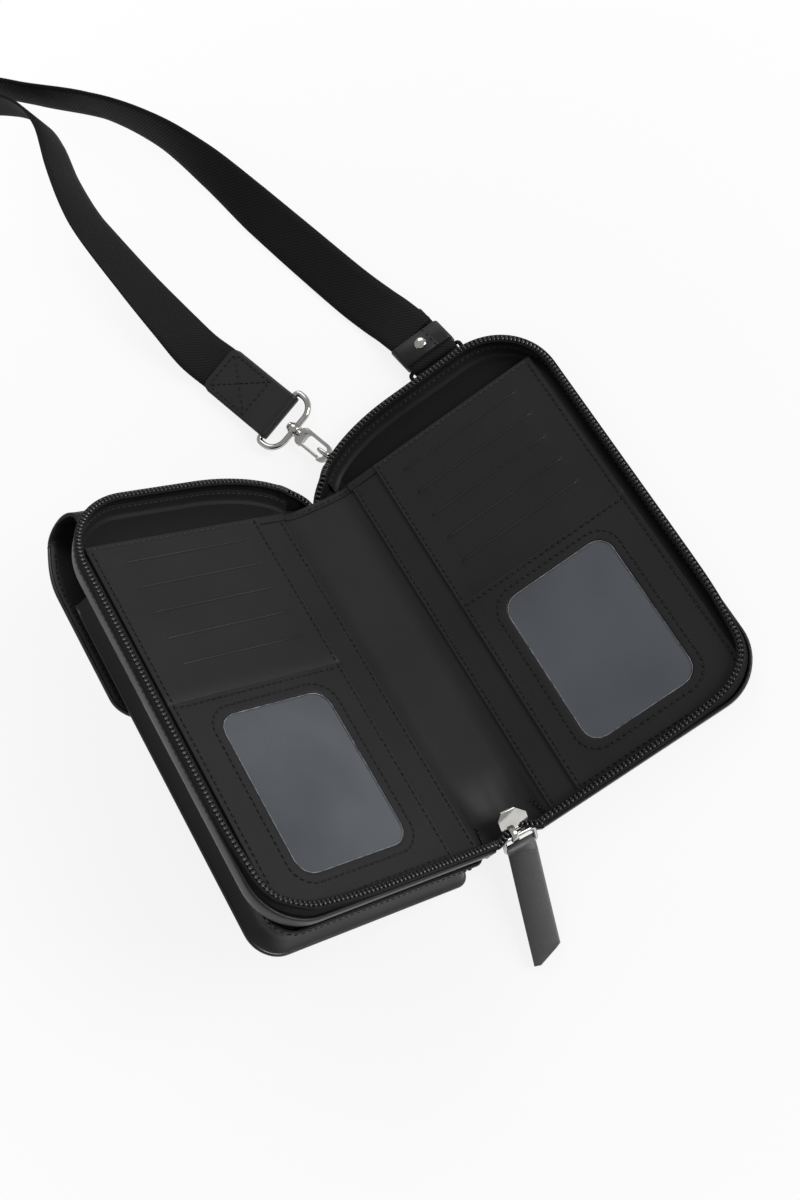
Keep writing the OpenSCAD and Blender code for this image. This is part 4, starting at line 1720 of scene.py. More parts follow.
def wave(x: float, y: float) -> float:
    """How far the soft inner panels rise off flat at a point of a half, in millimetres.

    Args:
        x: the distance from the seam.
        y: the height along it.

    Returns:
        The rise.
    """
    broad = noise.noise(Vector((x * 0.017, y * 0.013, 3.7))) * 0.5
    fine = noise.noise(Vector((x * 0.045, y * 0.05, 9.1))) * 0.12
    crown = math.exp(-(((x - 66) / 42) ** 2 + ((y - 48) / 40) ** 2)) * 0.35
    return (broad + fine) * 0.6 + crown


def swayed(rim: Rim, inset: float, z: float) -> list[tuple[float, float]]:
    """A line along the rim: above the wall it leans inwards round the outer lower corner.

    Args:
        rim: the rim.
        inset: how far the line lies inside it.
        z: the line's height over the back.

    Returns:
        The line's points.
    """
    line, inner = rim.line(inset), rim.line(inset + 6.0)
    corner = (SIZES.half_w - SIZES.bottom_r * 0.5, SIZES.y_bottom + SIZES.bottom_r * 0.5)
    above = clamp((z - 7.4) / 5.0)
    out = []
    for (x, y), within in zip(line, inner):
        near = math.exp(-((x - corner[0]) ** 2 + (y - corner[1]) ** 2) / 24.0 ** 2)
        below = clamp((-84.0 - y) / 8.0)
        out.append(between((x, y), within, (0.62 * near + 0.23 * below) * above))
    return out


def ways_in(
    place: Place, line: Sequence[tuple[float, float]], inner: Sequence[tuple[float, float]], rise: float,
) -> list[Vector]:
    """A direction for each point of a line towards the same point of a line inside it.

    Args:
        place: the place that the lines are drawn on.
        line: the line.
        inner: the line inside it.
        rise: how much the direction rises, in millimetres.

    Returns:
        The directions; a point without one gets the place's up.
    """
    return [
        place.way(q[0] - p[0], q[1] - p[1], rise)
        if abs(q[0] - p[0]) + abs(q[1] - p[1]) > 1e-5 else place.up.copy()
        for p, q in zip(line, inner)
    ]


def sweep(
    name: str, place: Place, profile: Sequence[tuple[float, float]], start: float = 2.2,
) -> bpy.types.Object:
    """Draw a closed profile along the rim of a half.

    Args:
        name: the object's name.
        place: the half's place.
        profile: its points as inset from the rim and height over the back, in millimetres.
        start: where the rim starts and ends across the half.

    Returns:
        The swept solid.
    """
    rim = Rim(start)
    lines = [swayed(rim, inset, z) for inset, z in profile]
    rings = [
        [place.at(*line[i], z) for line, (_, z) in zip(lines, profile)]
        for i in range(len(lines[0]))
    ]
    return sharpen(loft(name, rings), 50)


def along_rim(place: Place, inset: float, z: float) -> list[Vector]:
    """A line at one inset and height along the rim of a half, in metres."""
    return [place.at(x, y, z) for x, y in swayed(Rim(), inset, z)]


@dataclass
class Panels:
    """The places of the inner panels' edges, in millimetres.

    Attributes:
        slip_in: the slip panel's edge.
        card_in: the card panel's edge.
        card_out: the panels' outer edge.
        bottom: their lower edge.
        top: their upper edge.
        seam: the seam between cards and window.
        first: the first card slot.
        pitch: the step from slot to slot.
        slots: how many slots there are.
        slot_from: where a slot's cut starts.
        slot_to: where it ends.
        window: the window's opening as left, right, low and high.
        window_r: the radius of its corners.
        layer: the thickness of a layer of leather.
        corner: the radius of the panels' outer lower corner.
        slip_low: the height of the slip panel's lower face.
        curl: how far a panel's folded edge stands up.
        fold_in: how far the stitching lies inside a folded edge.
        edge_in: how far it lies inside the panels' outer edge.
        thread: how far the stitching's line lies over a panel.
    """

    slip_in: float = 8.5
    card_in: float = 22.6
    card_out: float = 110.6
    bottom: float = -91.0
    top: float = 91.0
    seam: float = 9.5
    first: float = 80.0
    pitch: float = 13.4
    slots: int = 5
    slot_from: float = 33.5
    slot_to: float = 96.5
    window: tuple[float, float, float, float] = (37.8, 92.8, -76.9, -0.9)
    window_r: float = 8.0
    layer: float = 0.85
    corner: float = 15.0
    slip_low: float = 7.5
    curl: float = 0.45
    fold_in: float = 1.9
    edge_in: float = 2.4
    thread: float = 0.05

    @property
    def slip_top(self) -> float:
        """The height of the slip panel's upper face."""
        return self.slip_low + self.layer

    @property
    def card_top(self) -> float:
        """The height of the card panel's upper face."""
        return self.slip_top + self.layer

    def lift(self, x: float, edge: float) -> float:
        """How far a panel curls up near its folded edge."""
        return self.curl * math.exp(-max(0.0, x - edge) / 1.5)


@dataclass(frozen=True)
class Profiles:
    """The closed profiles that run along a rim, as insets from it and heights over the back.

    Attributes:
        shell: the skin of the back and the wall, which flares out towards the zip.
        lining: the lining of the wall.
        strip: the bound strip over the lining's edge.
        tape: the zip's tape.
    """

    shell: Outline = (
        (8.0, 0.0), (6.0, 0.02), (4.2, 0.2), (2.9, 0.8), (1.9, 1.8), (1.2, 3.2), (0.7, 5.2), (0.4, 7.4),
        (0.15, 9.3), (0.3, 9.85), (0.9, 10.1), (1.5, 9.85), (1.75, 9.0), (2.0, 7.4), (2.3, 5.4), (2.9, 3.8),
        (4.0, 2.6), (6.2, 2.05), (8.0, 2.0),
    )
    lining: Outline = (
        (6.0, 2.5), (4.9, 3.1), (4.1, 4.2), (3.6, 5.8), (3.3, 6.6), (2.7, 6.6), (3.2, 5.2), (3.9, 3.6),
        (5.0, 2.4), (6.2, 2.1),
    )
    strip: Outline = (
        (3.55, 4.9), (3.1, 6.4), (2.75, 7.9), (2.5, 8.25), (2.1, 8.2), (2.3, 6.9), (2.8, 5.2), (3.2, 4.8),
    )
    tape: Outline = (
        (0.55, 9.6), (0.5, 11.2), (0.5, 12.35), (1.1, 12.55), (1.9, 12.4), (1.75, 11.0), (1.95, 9.4),
        (2.45, 7.6), (2.0, 7.5), (1.45, 9.3),
    )


@dataclass
class Half:
    """One half of the pouch: shell, lining, zip and inner panels.

    Attributes:
        side: which half it is.
        finishes: the materials.
        repeater: the tree that sets stitches and teeth.
        panels: the places of the inner panels.
        profiles: what runs along its rim.
    """

    side: Side
    finishes: Finishes
    repeater: Repeater
    panels: Panels = field(default_factory=Panels)
    profiles: Profiles = Profiles()

    @property
    def place(self) -> Place:
        """The half's place."""
        return self.side.place

    def name(self, piece: str) -> str:
        """A piece's name with the half's."""
        return f"{self.side.value}_{piece}"

    def finish(self, obj: bpy.types.Object, material: bpy.types.Material, slot: str, *pieces: str) -> None:
        """Dress a piece, hang it on the half, and let it stand for the half's CAD pieces."""
        finish_piece(obj, self.side.body, material, [self.name(piece) for piece in pieces])

    def shell(self) -> None:
        """The leather back and wall in one skin: the wall flares out towards the zip."""
        profile = self.profiles.shell
        rim = Rim(8.0)
        wall = Rim()
        lines = []
        for inset, _ in profile:
            share = clamp((inset - 3.0) / 3.0)
            lines.append([between(a, b, share) for a, b in zip(wall.line(inset), rim.line(inset))])
        n, count = len(profile), len(lines[0])
        points = [self.place.at(*line[i], z) for i in range(count) for line, (_, z) in zip(lines, profile)]
        faces = ring_faces(count, n, False)
        last = (count - 1) * n
        faces.append([i * n for i in range(count)])
        faces.append([i * n + n - 1 for i in range(count)])
        faces.append(list(range(n)))
        faces.append([last + k for k in range(n)])
        faces.append([0, n - 1, last + n - 1, last])
        obj = sharpen(mesh_from(self.name("shell"), points, faces), 55)
        self.finish(obj, self.finishes.shell, "shell_leather", "back_panel", "gusset")

    def lining(self) -> None:
        """The inner wall: lining, the bound strip over its edge with its stitching, and the floor."""
        place = self.place
        floor = slab(self.name("lining_floor"), place, Rim(6.5).line(5.0), 2.0, 2.5, 0)
        wall = sweep(self.name("lining_wall"), place, self.profiles.lining, 0.5)
        strip = sweep(self.name("lining_strip"), place, self.profiles.strip, 0.5)
        parts = [dressed(floor, self.finishes.lining)]
        parts += [dressed(part, self.finishes.inner) for part in (wall, strip)]
        rows = [Row(along_rim(place, 3.05, 7.0), self.up_towards_middle())]
        stitches = self.repeater.sew(
            self.name("lining_stitches"), rows, Stitching.LINING, self.finishes.hem_thread,
        )
        obj = join(self.name("lining"), parts + [stitches])
        self.finish(obj, self.finishes.lining, "lining_cloth", "lining")

    def up_towards_middle(self) -> list[Vector]:
        """A direction for each point of the rim: towards the half's middle and a little up."""
        return ways_in(self.place, Rim().line(3.0), Rim().line(6.0), 1.2)

    def zip(self) -> None:
        """The woven tape and the coil on its edge."""
        place = self.place
        tape = sweep(self.name("tape"), place, self.profiles.tape)
        self.finish(tape, self.finishes.tape, "zip_tape", "zip_tape")
        row = Row(along_rim(place, CHAIN.inset, CHAIN.foot), place.up.copy())
        coil = self.repeater.coil(self.name("coil"), row, self.finishes.coil)
        core = tube(self.name("coil_core"), along_rim(place, CHAIN.inset, CHAIN.core), CHAIN.core_r, 8)
        parts = [coil, dressed(core, self.finishes.thread)]
        for k, side in enumerate((-1, 1)):
            line = along_rim(place, CHAIN.inset + side * CHAIN.bead_out, CHAIN.bead)
            bead = tube(self.name(f"coil_edge_{k}"), line, CHAIN.bead_r, 8)
            parts.append(dressed(bead, self.finishes.tape))
        obj = join(self.name("zip_coil_teeth"), parts)
        self.finish(obj, self.finishes.coil, "zip_coil", "zip_coil")
        points = zip(along_rim(place, 0.35, 8.7), self.outwards(), Rim().line(0.35))
        line = [(q, v) for q, v, (x, _) in points if x > 11]
        rows = [Row([q for q, _ in line], [v for _, v in line])]
        edge = self.repeater.sew(self.name("rim_stitches"), rows, Stitching.RIM, self.finishes.thread)
        self.finish(edge, self.finishes.thread, "shell_leather")

    def outwards(self) -> list[Vector]:
        """A direction for each point of the rim: out of the wall."""
        return [-v for v in ways_in(self.place, Rim().line(0.3), Rim().line(4.0), -0.2)]

    def sheet(
        self, name: str, x0: float, x1: float, y0: float, y1: float, z: float, thick: float,
        corner: float = 0.0, edge: float = 0.25, curled: bool = False,
    ) -> bpy.types.Object:
        """A soft panel with rounded edges that follows the leaf's wave.

        Args:
            name: the object's name.
            x0: its edge by the seam.
            x1: its outer edge.
            y0: its lower edge.
            y1: its upper edge.
            z: the height of its lower face.
            thick: its thickness.
            corner: the radius of its outer lower corner.
            edge: the radius of its edges.
            curled: whether its edge by the seam stands up.

        Returns:
            The panel.
        """
        def height(x: float, y: float) -> float:
            """The height of the lower face at a point."""
            return z + wave(x, y) + (self.panels.lift(x, x0) if curled else 0.0)

        def right_at(y: float) -> float:
            """The outer edge at a height along the seam."""
            if corner and y < y0 + corner:
                return x1 - corner + math.sqrt(max(0.0, corner ** 2 - (y0 + corner - y) ** 2))
            return x1
        shares = [0.0, 0.004, 0.008, 0.014, 0.02, 0.03, 0.042, 0.06, 0.085] + [
            0.085 + 0.915 * k / 26 for k in range(1, 27)
        ]
        cols = len(shares) - 1
        steps = [0.0, 0.002, 0.006, 0.012, 0.02, 0.03, 0.045, 0.06, 0.08] + [
            0.08 + 0.92 * k / 30 for k in range(1, 31)
        ]
        rings = []
        for v in steps:
            y = y0 + (y1 - y0) * v
            xr = right_at(y)
            xs = [x0 + (xr - x0) * share for share in shares]
            drop = edge if v in (0.0, 1.0) else 0.0
            top = []
            for k, x in enumerate(xs):
                side = k in (0, cols)
                along = x if side else min(max(x, x0 + edge), xr - edge)
                top.append(self.place.at(along, y, height(x, y) + thick - (edge if side else drop)))
            rings.append(top + [self.place.at(x, y, height(x, y)) for x in reversed(xs)])
        if edge:
            shift, up = self.place.along * edge * MM, self.place.up * edge * MM
            for at, ring, way in ((1, rings[0], 1), (len(rings), rings[-1], -1)):
                rings.insert(
                    at, [p + shift * way + (up if 0 < k < cols else Vector()) for k, p in enumerate(ring)],
                )
        return sharpen(loft(name, rings), 48)

    def row(self, points: Sequence[tuple[float, float]], z: float) -> Row:
        """A stitch line on the inner panels, at a height over the leaf's wave."""
        fine = resample([Vector((x, y, 0)) for x, y in points], 1.5)
        return Row([self.place.at(p.x, p.y, z + wave(p.x, p.y)) for p in fine], self.place.up.copy())

    def stitches(self, name: str, rows: Sequence[Row]) -> bpy.types.Object:
        """Stitching on the inner panels.

        Args:
            name: their name.
            rows: their lines.

        Returns:
            The stitches.
        """
        return self.repeater.sew(self.name(name), rows, Stitching.PANEL, self.finishes.thread)

    def leaf(self) -> None:
        """The leaf under the pockets, with its folded top edge and its outer strip down to the lining."""
        p = self.panels
        outer = [q for q in Rim().line(2.9) if abs(q[1]) <= p.top and q[0] > p.card_out - 6]
        within = p.card_out - 5
        strip_points = [self.place.at(x, y, 7.0) for x, y in outer]
        strip_points += [self.place.at(within, y, 7.5 + wave(within, y)) for _, y in outer]
        n = len(outer)
        lower = [q - self.place.up * 0.4 * MM for q in strip_points]
        faces = [[k, k + 1, n + k + 1, n + k] for k in range(n - 1)]
        faces += [[2 * n + f for f in reversed(face)] for face in faces]
        loop = list(range(n)) + list(range(2 * n - 1, n - 1, -1))
        faces += [
            [loop[k], loop[(k + 1) % len(loop)], 2 * n + loop[(k + 1) % len(loop)], 2 * n + loop[k]]
            for k in range(len(loop))
        ]
        strip = mesh_from(self.name("leaf_strip"), strip_points + lower, faces)
        base = self.sheet(
            self.name("leaf_base"), p.slip_in - 1.5, p.card_out, p.bottom, p.top, 6.9, 0.6, corner=p.corner,
        )
        hem = self.sheet(
            self.name("leaf_hem"), p.slip_in - 1.5, p.card_out + 0.2, p.top - 3.6, p.top + 0.15, 6.9, 1.9,
            edge=0.4,
        )
        hem_y = p.top - p.fold_in
        rows = [
            self.row([(p.card_out - 1, hem_y), (p.card_in + 2.6, hem_y)], p.card_top + p.thread),
            self.row([(p.card_in - 0.6, hem_y), (p.slip_in + 2.6, hem_y)], p.slip_top + p.thread),
        ]
        jag = self.repeater.sew(
            self.name("hem_stitches"), rows, Stitching.LEAF_HEM, self.finishes.hem_thread,
        )
        parts = [dressed(part, self.finishes.inner) for part in (strip, base, hem)]
        obj = join(self.name("leaf_panel"), parts + [jag])
        self.finish(obj, self.finishes.inner, "inner_leather", "leaf")

    def slip(self) -> None:
        """The slip pocket's panel by the spine, with its edge stitching."""
        p = self.panels
        sheet = self.sheet(
            self.name("slip_sheet"), p.slip_in, p.card_out, p.bottom, p.top - 0.1, p.slip_low, p.layer,
            corner=p.corner, curled=True,
        )
        stitches = self.stitches("slip_stitches", [
            self.row(
                [(p.slip_in + p.fold_in, p.top - 2.5), (p.slip_in + p.fold_in, p.bottom + 1)],
                p.slip_top + p.lift(p.fold_in, 0.0) + p.thread,
            ),
        ])
        obj = join(self.name("slip_pocket"), [dressed(sheet, self.finishes.inner), stitches])
        self.finish(obj, self.finishes.inner, "inner_leather", "slip_panel")

    def slot_height(self, x: float, y: float) -> float:
        """How far the card panel rises at a point, from its slots' edges, in millimetres.

        Args:
            x: the distance from the seam.
            y: the height along it.

        Returns:
            The rise.
        """
        p = self.panels
        fade = eased(clamp((x - p.slot_from + 1.2) / 4.5) * clamp((p.slot_to + 1.2 - x) / 4.5))
        step = 0.0
        for i in range(p.slots):
            edge = p.first - i * p.pitch
            if y <= edge:
                step = 0.34 * math.exp(-(edge - y) / 5.0)
        return step * fade

    def cards(self) -> None:
        """The card panel: five slots, each a step that stands off the layer behind it, with a painted shadow in
        its cut and a painted highlight along its edge.
        """
        p = self.panels
        ys: list[float] = [p.top - 0.1, p.top - 0.4, p.top - 2, p.top - 4, p.top - 7]
        for i in range(p.slots):
            edge = p.first - i * p.pitch
            ys += [
                edge + 1.2, edge + 0.05, edge, edge - 0.35, edge - 0.9, edge - 2.2, edge - 4.5, edge - 7.5,
                edge - 10.5,
            ]
        ys = [y for y in ys if y > p.seam + 0.6] + [p.seam + 0.5, p.seam + 0.1]
        xs = [p.card_in + step for step in (0.0, 0.3, 0.8, 1.5, 2.4, 3.6)]
        xs += [p.card_in + 3.6 + (p.slot_from - 5.6 - p.card_in) * k / 3 for k in range(1, 4)]
        xs += [p.slot_from - 1.2, p.slot_from - 0.6, p.slot_from, p.slot_from + 0.6]
        xs += [p.slot_from + 0.6 + (p.slot_to - p.slot_from - 1.2) * k / 22 for k in range(1, 23)]
        xs += [p.slot_to, p.slot_to + 0.6, p.slot_to + 1.2]
        xs += [p.slot_to + 1.2 + (p.card_out - 0.3 - p.slot_to - 1.2) * k / 5 for k in range(1, 6)]
        xs.append(p.card_out)
        base, rings = p.slip_top, []
        for j, y in enumerate(ys):
            ends = j in (0, len(ys) - 1)
            top = []
            for k, x in enumerate(xs):
                drop = 0.25 if ends or k in (0, len(xs) - 1) else 0.0
                z = base + p.layer - drop + self.slot_height(x, y) + p.lift(x, p.card_in) + wave(x, y)
                top.append(self.place.at(x, y, z))
            low = [self.place.at(x, y, base + p.lift(x, p.card_in) + wave(x, y)) for x in reversed(xs)]
            rings.append(top + low)
        sheet = dressed(sharpen(loft(self.name("card_sheet"), rings), 48), self.finishes.inner)
        slits = []
        for i in range(p.slots):
            edge = p.first - i * p.pitch
            # Two tubes for each slot: a dark one in the tape's colour is a painted shadow in the cut, a light
            # leather one a painted highlight along the slot's edge.
            for name, dy, rise, r, leather in (
                ("slit", 0.2, 0.0, 0.19, self.finishes.tape), ("lip", -0.28, 0.1, 0.24, self.finishes.lip),
            ):
                line = []
                for k in range(31):
                    x = p.slot_from + (p.slot_to - p.slot_from) * k / 30
                    sink = 0.3 * (1 - self.slot_height(x, edge) / 0.34)
                    line.append(
                        self.place.at(
                            x, edge + dy,
                            p.card_top + rise + self.slot_height(x, edge + dy) - sink + wave(x, edge),
                        )
                    )
                slits.append(dressed(tube(self.name(f"{name}_{i}"), line, r, 6), leather))
        edge_row = p.card_out - p.edge_in
        stitches = self.stitches("card_stitches", [
            self.row(
                [(p.card_in + p.fold_in, p.top - 2.5), (p.card_in + p.fold_in, p.seam + 2)],
                p.card_top + p.lift(p.fold_in, 0.0) + p.thread,
            ),
            self.row([(edge_row, p.top - 4.5), (edge_row, p.seam + 2)], p.card_top + 0.06),
        ])
        obj = join(self.name("card_pockets"), [sheet, *slits, stitches])
        self.finish(obj, self.finishes.inner, "inner_leather", "card_slots")

    def window(self) -> None:
        """The ID pocket: a frame with a rounded opening, its stitching, and the clear film behind it."""
        p = self.panels
        steps = 9
        x0, x1, y0, y1 = p.window
        inner = box_outline(x0, x1, y0, y1, p.window_r, steps)
        low, top = p.slip_top, p.card_top + 0.1
        outer = self.framed(p.card_in, p.card_out, p.bottom, p.seam, 0.6, p.corner, steps)
        within = self.framed(
            p.card_in + 0.3, p.card_out - 0.3, p.bottom + 0.3, p.seam - 0.3, 0.5, p.corner - 0.3, steps,
        )
        loops = [(outer, low), (outer, top - 0.25), (within, top)]
        loops += [
            ([between(a, b, share) for a, b in zip(within, inner)], top)
            for share in (0.04, 0.09, 0.16, 0.25, 0.45, 0.7, 0.85)
        ]
        for grow, z in ((0.55, top), (0.2, top - 0.1), (0.0, top - 0.4), (0.0, low + 0.05)):
            loops.append(
                (box_outline(x0 - grow, x1 + grow, y0 - grow, y1 + grow, p.window_r + grow, steps), z)
            )
        rings = [
            [self.place.at(x, y, z + p.lift(x, p.card_in) + wave(x, y)) for x, y in line]
            for line, z in loops
        ]
        rings.append(rings[0])
        sheet = sharpen(loft(self.name("window_sheet"), rings, caps=False), 48)
        ring = box_outline(x0 - 4.0, x1 + 4.0, y0 - 4.0, y1 + 4.0, p.window_r + 3.0, steps)
        far, bend_r = p.card_out - p.edge_in, p.corner - p.edge_in
        bend = arc(far - p.corner + p.edge_in, p.bottom + p.corner, bend_r, bend_r, 0, -90, 12)
        stitches = self.stitches("window_stitches", [
            self.row(ring + ring[:1], top + 0.06),
            self.row(
                [(p.card_in + p.fold_in, p.seam - 1.5), (p.card_in + p.fold_in, p.bottom + 2)],
                top + p.lift(p.fold_in, 0.0) + p.thread,
            ),
            self.row([(far, p.seam - 1.5)] + bend + [(p.card_in + 4, p.bottom + p.edge_in)], top + 0.06),
            self.row([(p.card_in + 3, p.seam - 2.0), (p.card_out - 2, p.seam - 2.0)], top + 0.06),
        ])
        obj = join(self.name("window_pocket"), [dressed(sheet, self.finishes.inner), stitches])
        self.finish(obj, self.finishes.inner, "inner_leather", "window_panel")
        film = self.film(x0 - 2.5, x1 + 2.5, y0 - 2.5, y1 + 2.5)
        # The film's border: a thin light tube, a painted highlight where the cut edge catches the light.
        border = box_outline(x0 + 0.22, x1 - 0.22, y0 + 0.22, y1 - 0.22, p.window_r - 0.22, 12)
        bead = [
            self.place.at(q.x / MM, q.y / MM, low + 0.45 + wave(q.x / MM, q.y / MM))
            for q in resample_loop([Vector((x, y, 0)) * MM for x, y in border], 3.0)
        ]
        rim = dressed(tube(self.name("film_rim"), bead, 0.2, 6, True), self.finishes.film_edge)
        film = join(self.name("film_sheet"), [dressed(film, self.finishes.film), rim])
        self.finish(film, self.finishes.film, "clear_film", "window_film")

    def framed(
        self, x0: float, x1: float, y0: float, y1: float, r: float, large: float, steps: int,
    ) -> list[tuple[float, float]]:
        """A rectangle's outline with one large corner, point for point beside the window's own.

        Args:
            x0: the left edge.
            x1: the right edge.
            y0: the lower edge.
            y1: the upper edge.
            r: the radius of the three small corners.
            large: the radius of the outer lower corner.
            steps: how many steps a corner has.

        Returns:
            The points.
        """
        return (
            arc(x1 - large, y0 + large, large, large, -90, 0, steps) + arc(x1 - r, y1 - r, r, r, 0, 90, steps)
            + arc(x0 + r, y1 - r, r, r, 90, 180, steps) + arc(x0 + r, y0 + r, r, r, 180, 270, steps)
        )

    def film(self, x0: float, x1: float, y0: float, y1: float) -> bpy.types.Object:
        """The clear film, slack between its edges.

        Args:
            x0: the left edge.
            x1: the right edge.
            y0: the lower edge.
            y1: the upper edge.

        Returns:
            The film.
        """
        cols, rows, rings = 26, 34, []
        for j in range(rows + 1):
            y = y0 + (y1 - y0) * j / rows
            top, low = [], []
            for k in range(cols + 1):
                x = x0 + (x1 - x0) * k / cols
                u, v = math.sin(math.pi * k / cols), math.sin(math.pi * j / rows)
                bulge = 0.28 * u * v
                ripple = noise.noise(Vector((x * 0.05, y * 0.035, 5.0))) * 0.16 * u * v
                z = self.panels.slip_top + 0.15 + wave(x, y) + bulge + ripple
                top.append(self.place.at(x, y, z))
                low.append(self.place.at(x, y, z - 0.2))
            rings.append(top + low[::-1])
        return sharpen(loft(self.name("film"), rings), 60)

    def build(self) -> None:
        """Make every piece of the half."""
        self.shell()
        self.lining()
        self.zip()
        self.leaf()
        self.slip()
        self.cards()
        self.window()


# The spine and the slider


def seam_columns(side: Side) -> list[tuple[Callable[[float], Vector], float]]:
    """Columns from a half's back over its seam to the spine's middle.

    Args:
        side: the half.

    Returns:
        For each column, a function from a depth and a height along the seam to a point, and its place across.
    """
    half, spine = side.place, PLACES["spine"]
    width = 2 * SIZES.half_d
    from_right = side is Side.RIGHT
    out = []
    for a in (8.0, 6.0, 4.0, 2.5, 1.4, 0.6):
        out.append(((lambda y, z, a=a: half.at(a, y, z)), a))
    for b in (0.6, 1.4, 2.5, 4.0, 6.0, 9.0, 11.5, 14.0):
        x = b if from_right else width - b
        out.append(((lambda y, z, x=x: spine.at(x, y, z)), -b))
    return out


@dataclass
class Spine:
    """The strip between the halves: outer skin, inner strip and the zip's ends.

    Attributes:
        finishes: the materials.
        repeater: the tree that sets stitches and teeth.
        skin: the thickness of the outer skin.
        taut: the height of the inner strip over the spine's middle.
        dip: how much lower it lies round the slider.
        half_knots: its course over the half, as distance from the seam, height, and share of the dip.
        spine_knots: its course over the spine, with heights over taut.
    """

    finishes: Finishes
    repeater: Repeater
    skin: float = 1.9
    taut: float = 7.3
    dip: float = 3.2
    half_knots: tuple[Point, ...] = ((9.2, 7.35, 0.0), (6.2, 7.35, 0.05), (3.2, 7.5, 0.3))
    spine_knots: tuple[Point, ...] = (
        (3.6, 0.15, 0.6), (7.0, 0.0, 0.85), (10.5, -0.05, 1.0), (14.0, -0.05, 1.0),
    )

    def top_at(self, across: float) -> float:
        """Height of the skin's upper edge at a distance from the seam, outwards if positive.

        Args:
            across: the distance, onto the half if positive and onto the spine if negative.

        Returns:
            The height.
        """
        if across >= 0:
            rise = SIZES.head_h * math.sqrt(max(0.0, 1 - ((46 - across) / 51) ** 2))
            return SIZES.leaf_h / 2 + rise - 1.5 - 3.0 * min(1.0, across / 8)
        return 92.4 + 6.4 * max(0.0, 1 + across / 14) ** 1.4

    def outer(self, side: Side) -> None:
        """The outer skin on one side, from the half's back over the seam to the spine's middle.

        Args:
            side: the half on that side.
        """
        columns = []
        for point, across in seam_columns(side):
            top = self.top_at(across)
            low = SIZES.y_bottom + 1.5 + 3.0 * min(1.0, abs(across) / 8)
            dip = 0.0 if abs(across) > 1.5 else 0.12
            heights = [low + (top - low) * k / 40 for k in range(41)]
            columns.append([(point(y, dip), point(y, self.skin)) for y in heights])
        rings = [[pair[0] for pair in column] + [pair[1] for pair in reversed(column)] for column in columns]
        obj = dressed(sharpen(loft(f"spine_skin_{side.value}", rings), 50), self.finishes.shell)
        self.blend(obj, side, ["spine_panel"])

    def on_spine(self, side: Side, out: float, y: float, height: float) -> Vector:
        """A point over the spine, at a distance from a half's seam, in metres."""
        return PLACES["spine"].at(out if side is Side.RIGHT else 2 * SIZES.half_d - out, y, height)

    def strip_line(self, side: Side, y: float) -> list[Vector]:
        """The inner strip's line across one seam, at a height along it.

        Args:
            side: the half on that side.
            y: the height.

        Returns:
            The line's points.
        """
        dip = self.dip * eased(clamp((-58.0 - y) / 24.0))
        knots = [side.place.at(x, y, z - dip * share) for x, z, share in self.half_knots]
        knots += [self.on_spine(side, x, y, self.taut + z - dip * share) for x, z, share in self.spine_knots]
        return [Vector(p) for p in spline(knots, 5)]

    def inner(self, side: Side) -> None:
        """The inner strip on one side: it dips gently over the seam, with the folded edge along its top.

        Args:
            side: the half on that side.
        """
        ys = [-91.0, -90.7, -90.0, -88.5, -86.0] + [-86 + 170 * k / 44 for k in range(1, 45)]
        ys += [86.0, 87.2, 87.4, 88.5, 90.6, 91.0]
        rings = []
        for y in ys:
            line = self.strip_line(side, y)
            hem = 0.55 if y >= 87.4 else 0.0
            edge = 0.3 if y in (-91.0, 91.0) else 0.0
            top, low = [], []
            for i, q in enumerate(line):
                a, b = line[max(i - 1, 0)], line[min(i + 1, len(line) - 1)]
                normal = (b - a).cross(Vector((0, 1, 0))).normalized()
                if normal.z < 0:
                    normal = -normal
                puff = 0.12 * noise.noise(Vector((q.x * 30, y * 0.03, 1.3)))
                top.append(q + normal * (0.35 + hem - edge + puff) * MM)
                low.append(q + normal * (-0.35 + edge + puff) * MM)
            rings.append(top + low[::-1])
        sheet = sharpen(loft(f"inner_strip_{side.value}_sheet", rings), 48)
        row = Row([p + Vector((0, 0, 0.88 * MM)) for p in self.strip_line(side, 88.7)], Vector((0, 0, 1)))
        jag = self.repeater.sew(
            f"inner_strip_{side.value}_stitches", [row], Stitching.SPINE_HEM, self.finishes.thread,
        )
        obj = join(f"inner_strip_{side.value}", [dressed(sheet, self.finishes.inner), jag])
        self.blend(obj, side, ["spine_leaf"], (8.0, 12.5))

    def blend(
        self, obj: bpy.types.Object, side: Side, replaces: Sequence[str],
        reach: tuple[float, float] = (3.5, 3.5),
    ) -> None:
        """Hide the CAD nodes that a piece stands for, and keep the piece's place in its mesh.

        Args:
            obj: the piece.
            side: the half on that side.
            replaces: the CAD nodes that it stands for.
            reach: two distances from the seam, onto the half and onto the spine; the points found from them are
                not used.
        """
        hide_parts(*replaces)
        a, b = side.place.at(reach[0], 0, 0), self.on_spine(side, reach[1], 0, 0)
        if side is Side.RIGHT:
            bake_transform(obj)
        else:
            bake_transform(obj)
        LOG.info("%s: %d faces over the %s seam", obj.name, len(obj.data.polygons), side.value)

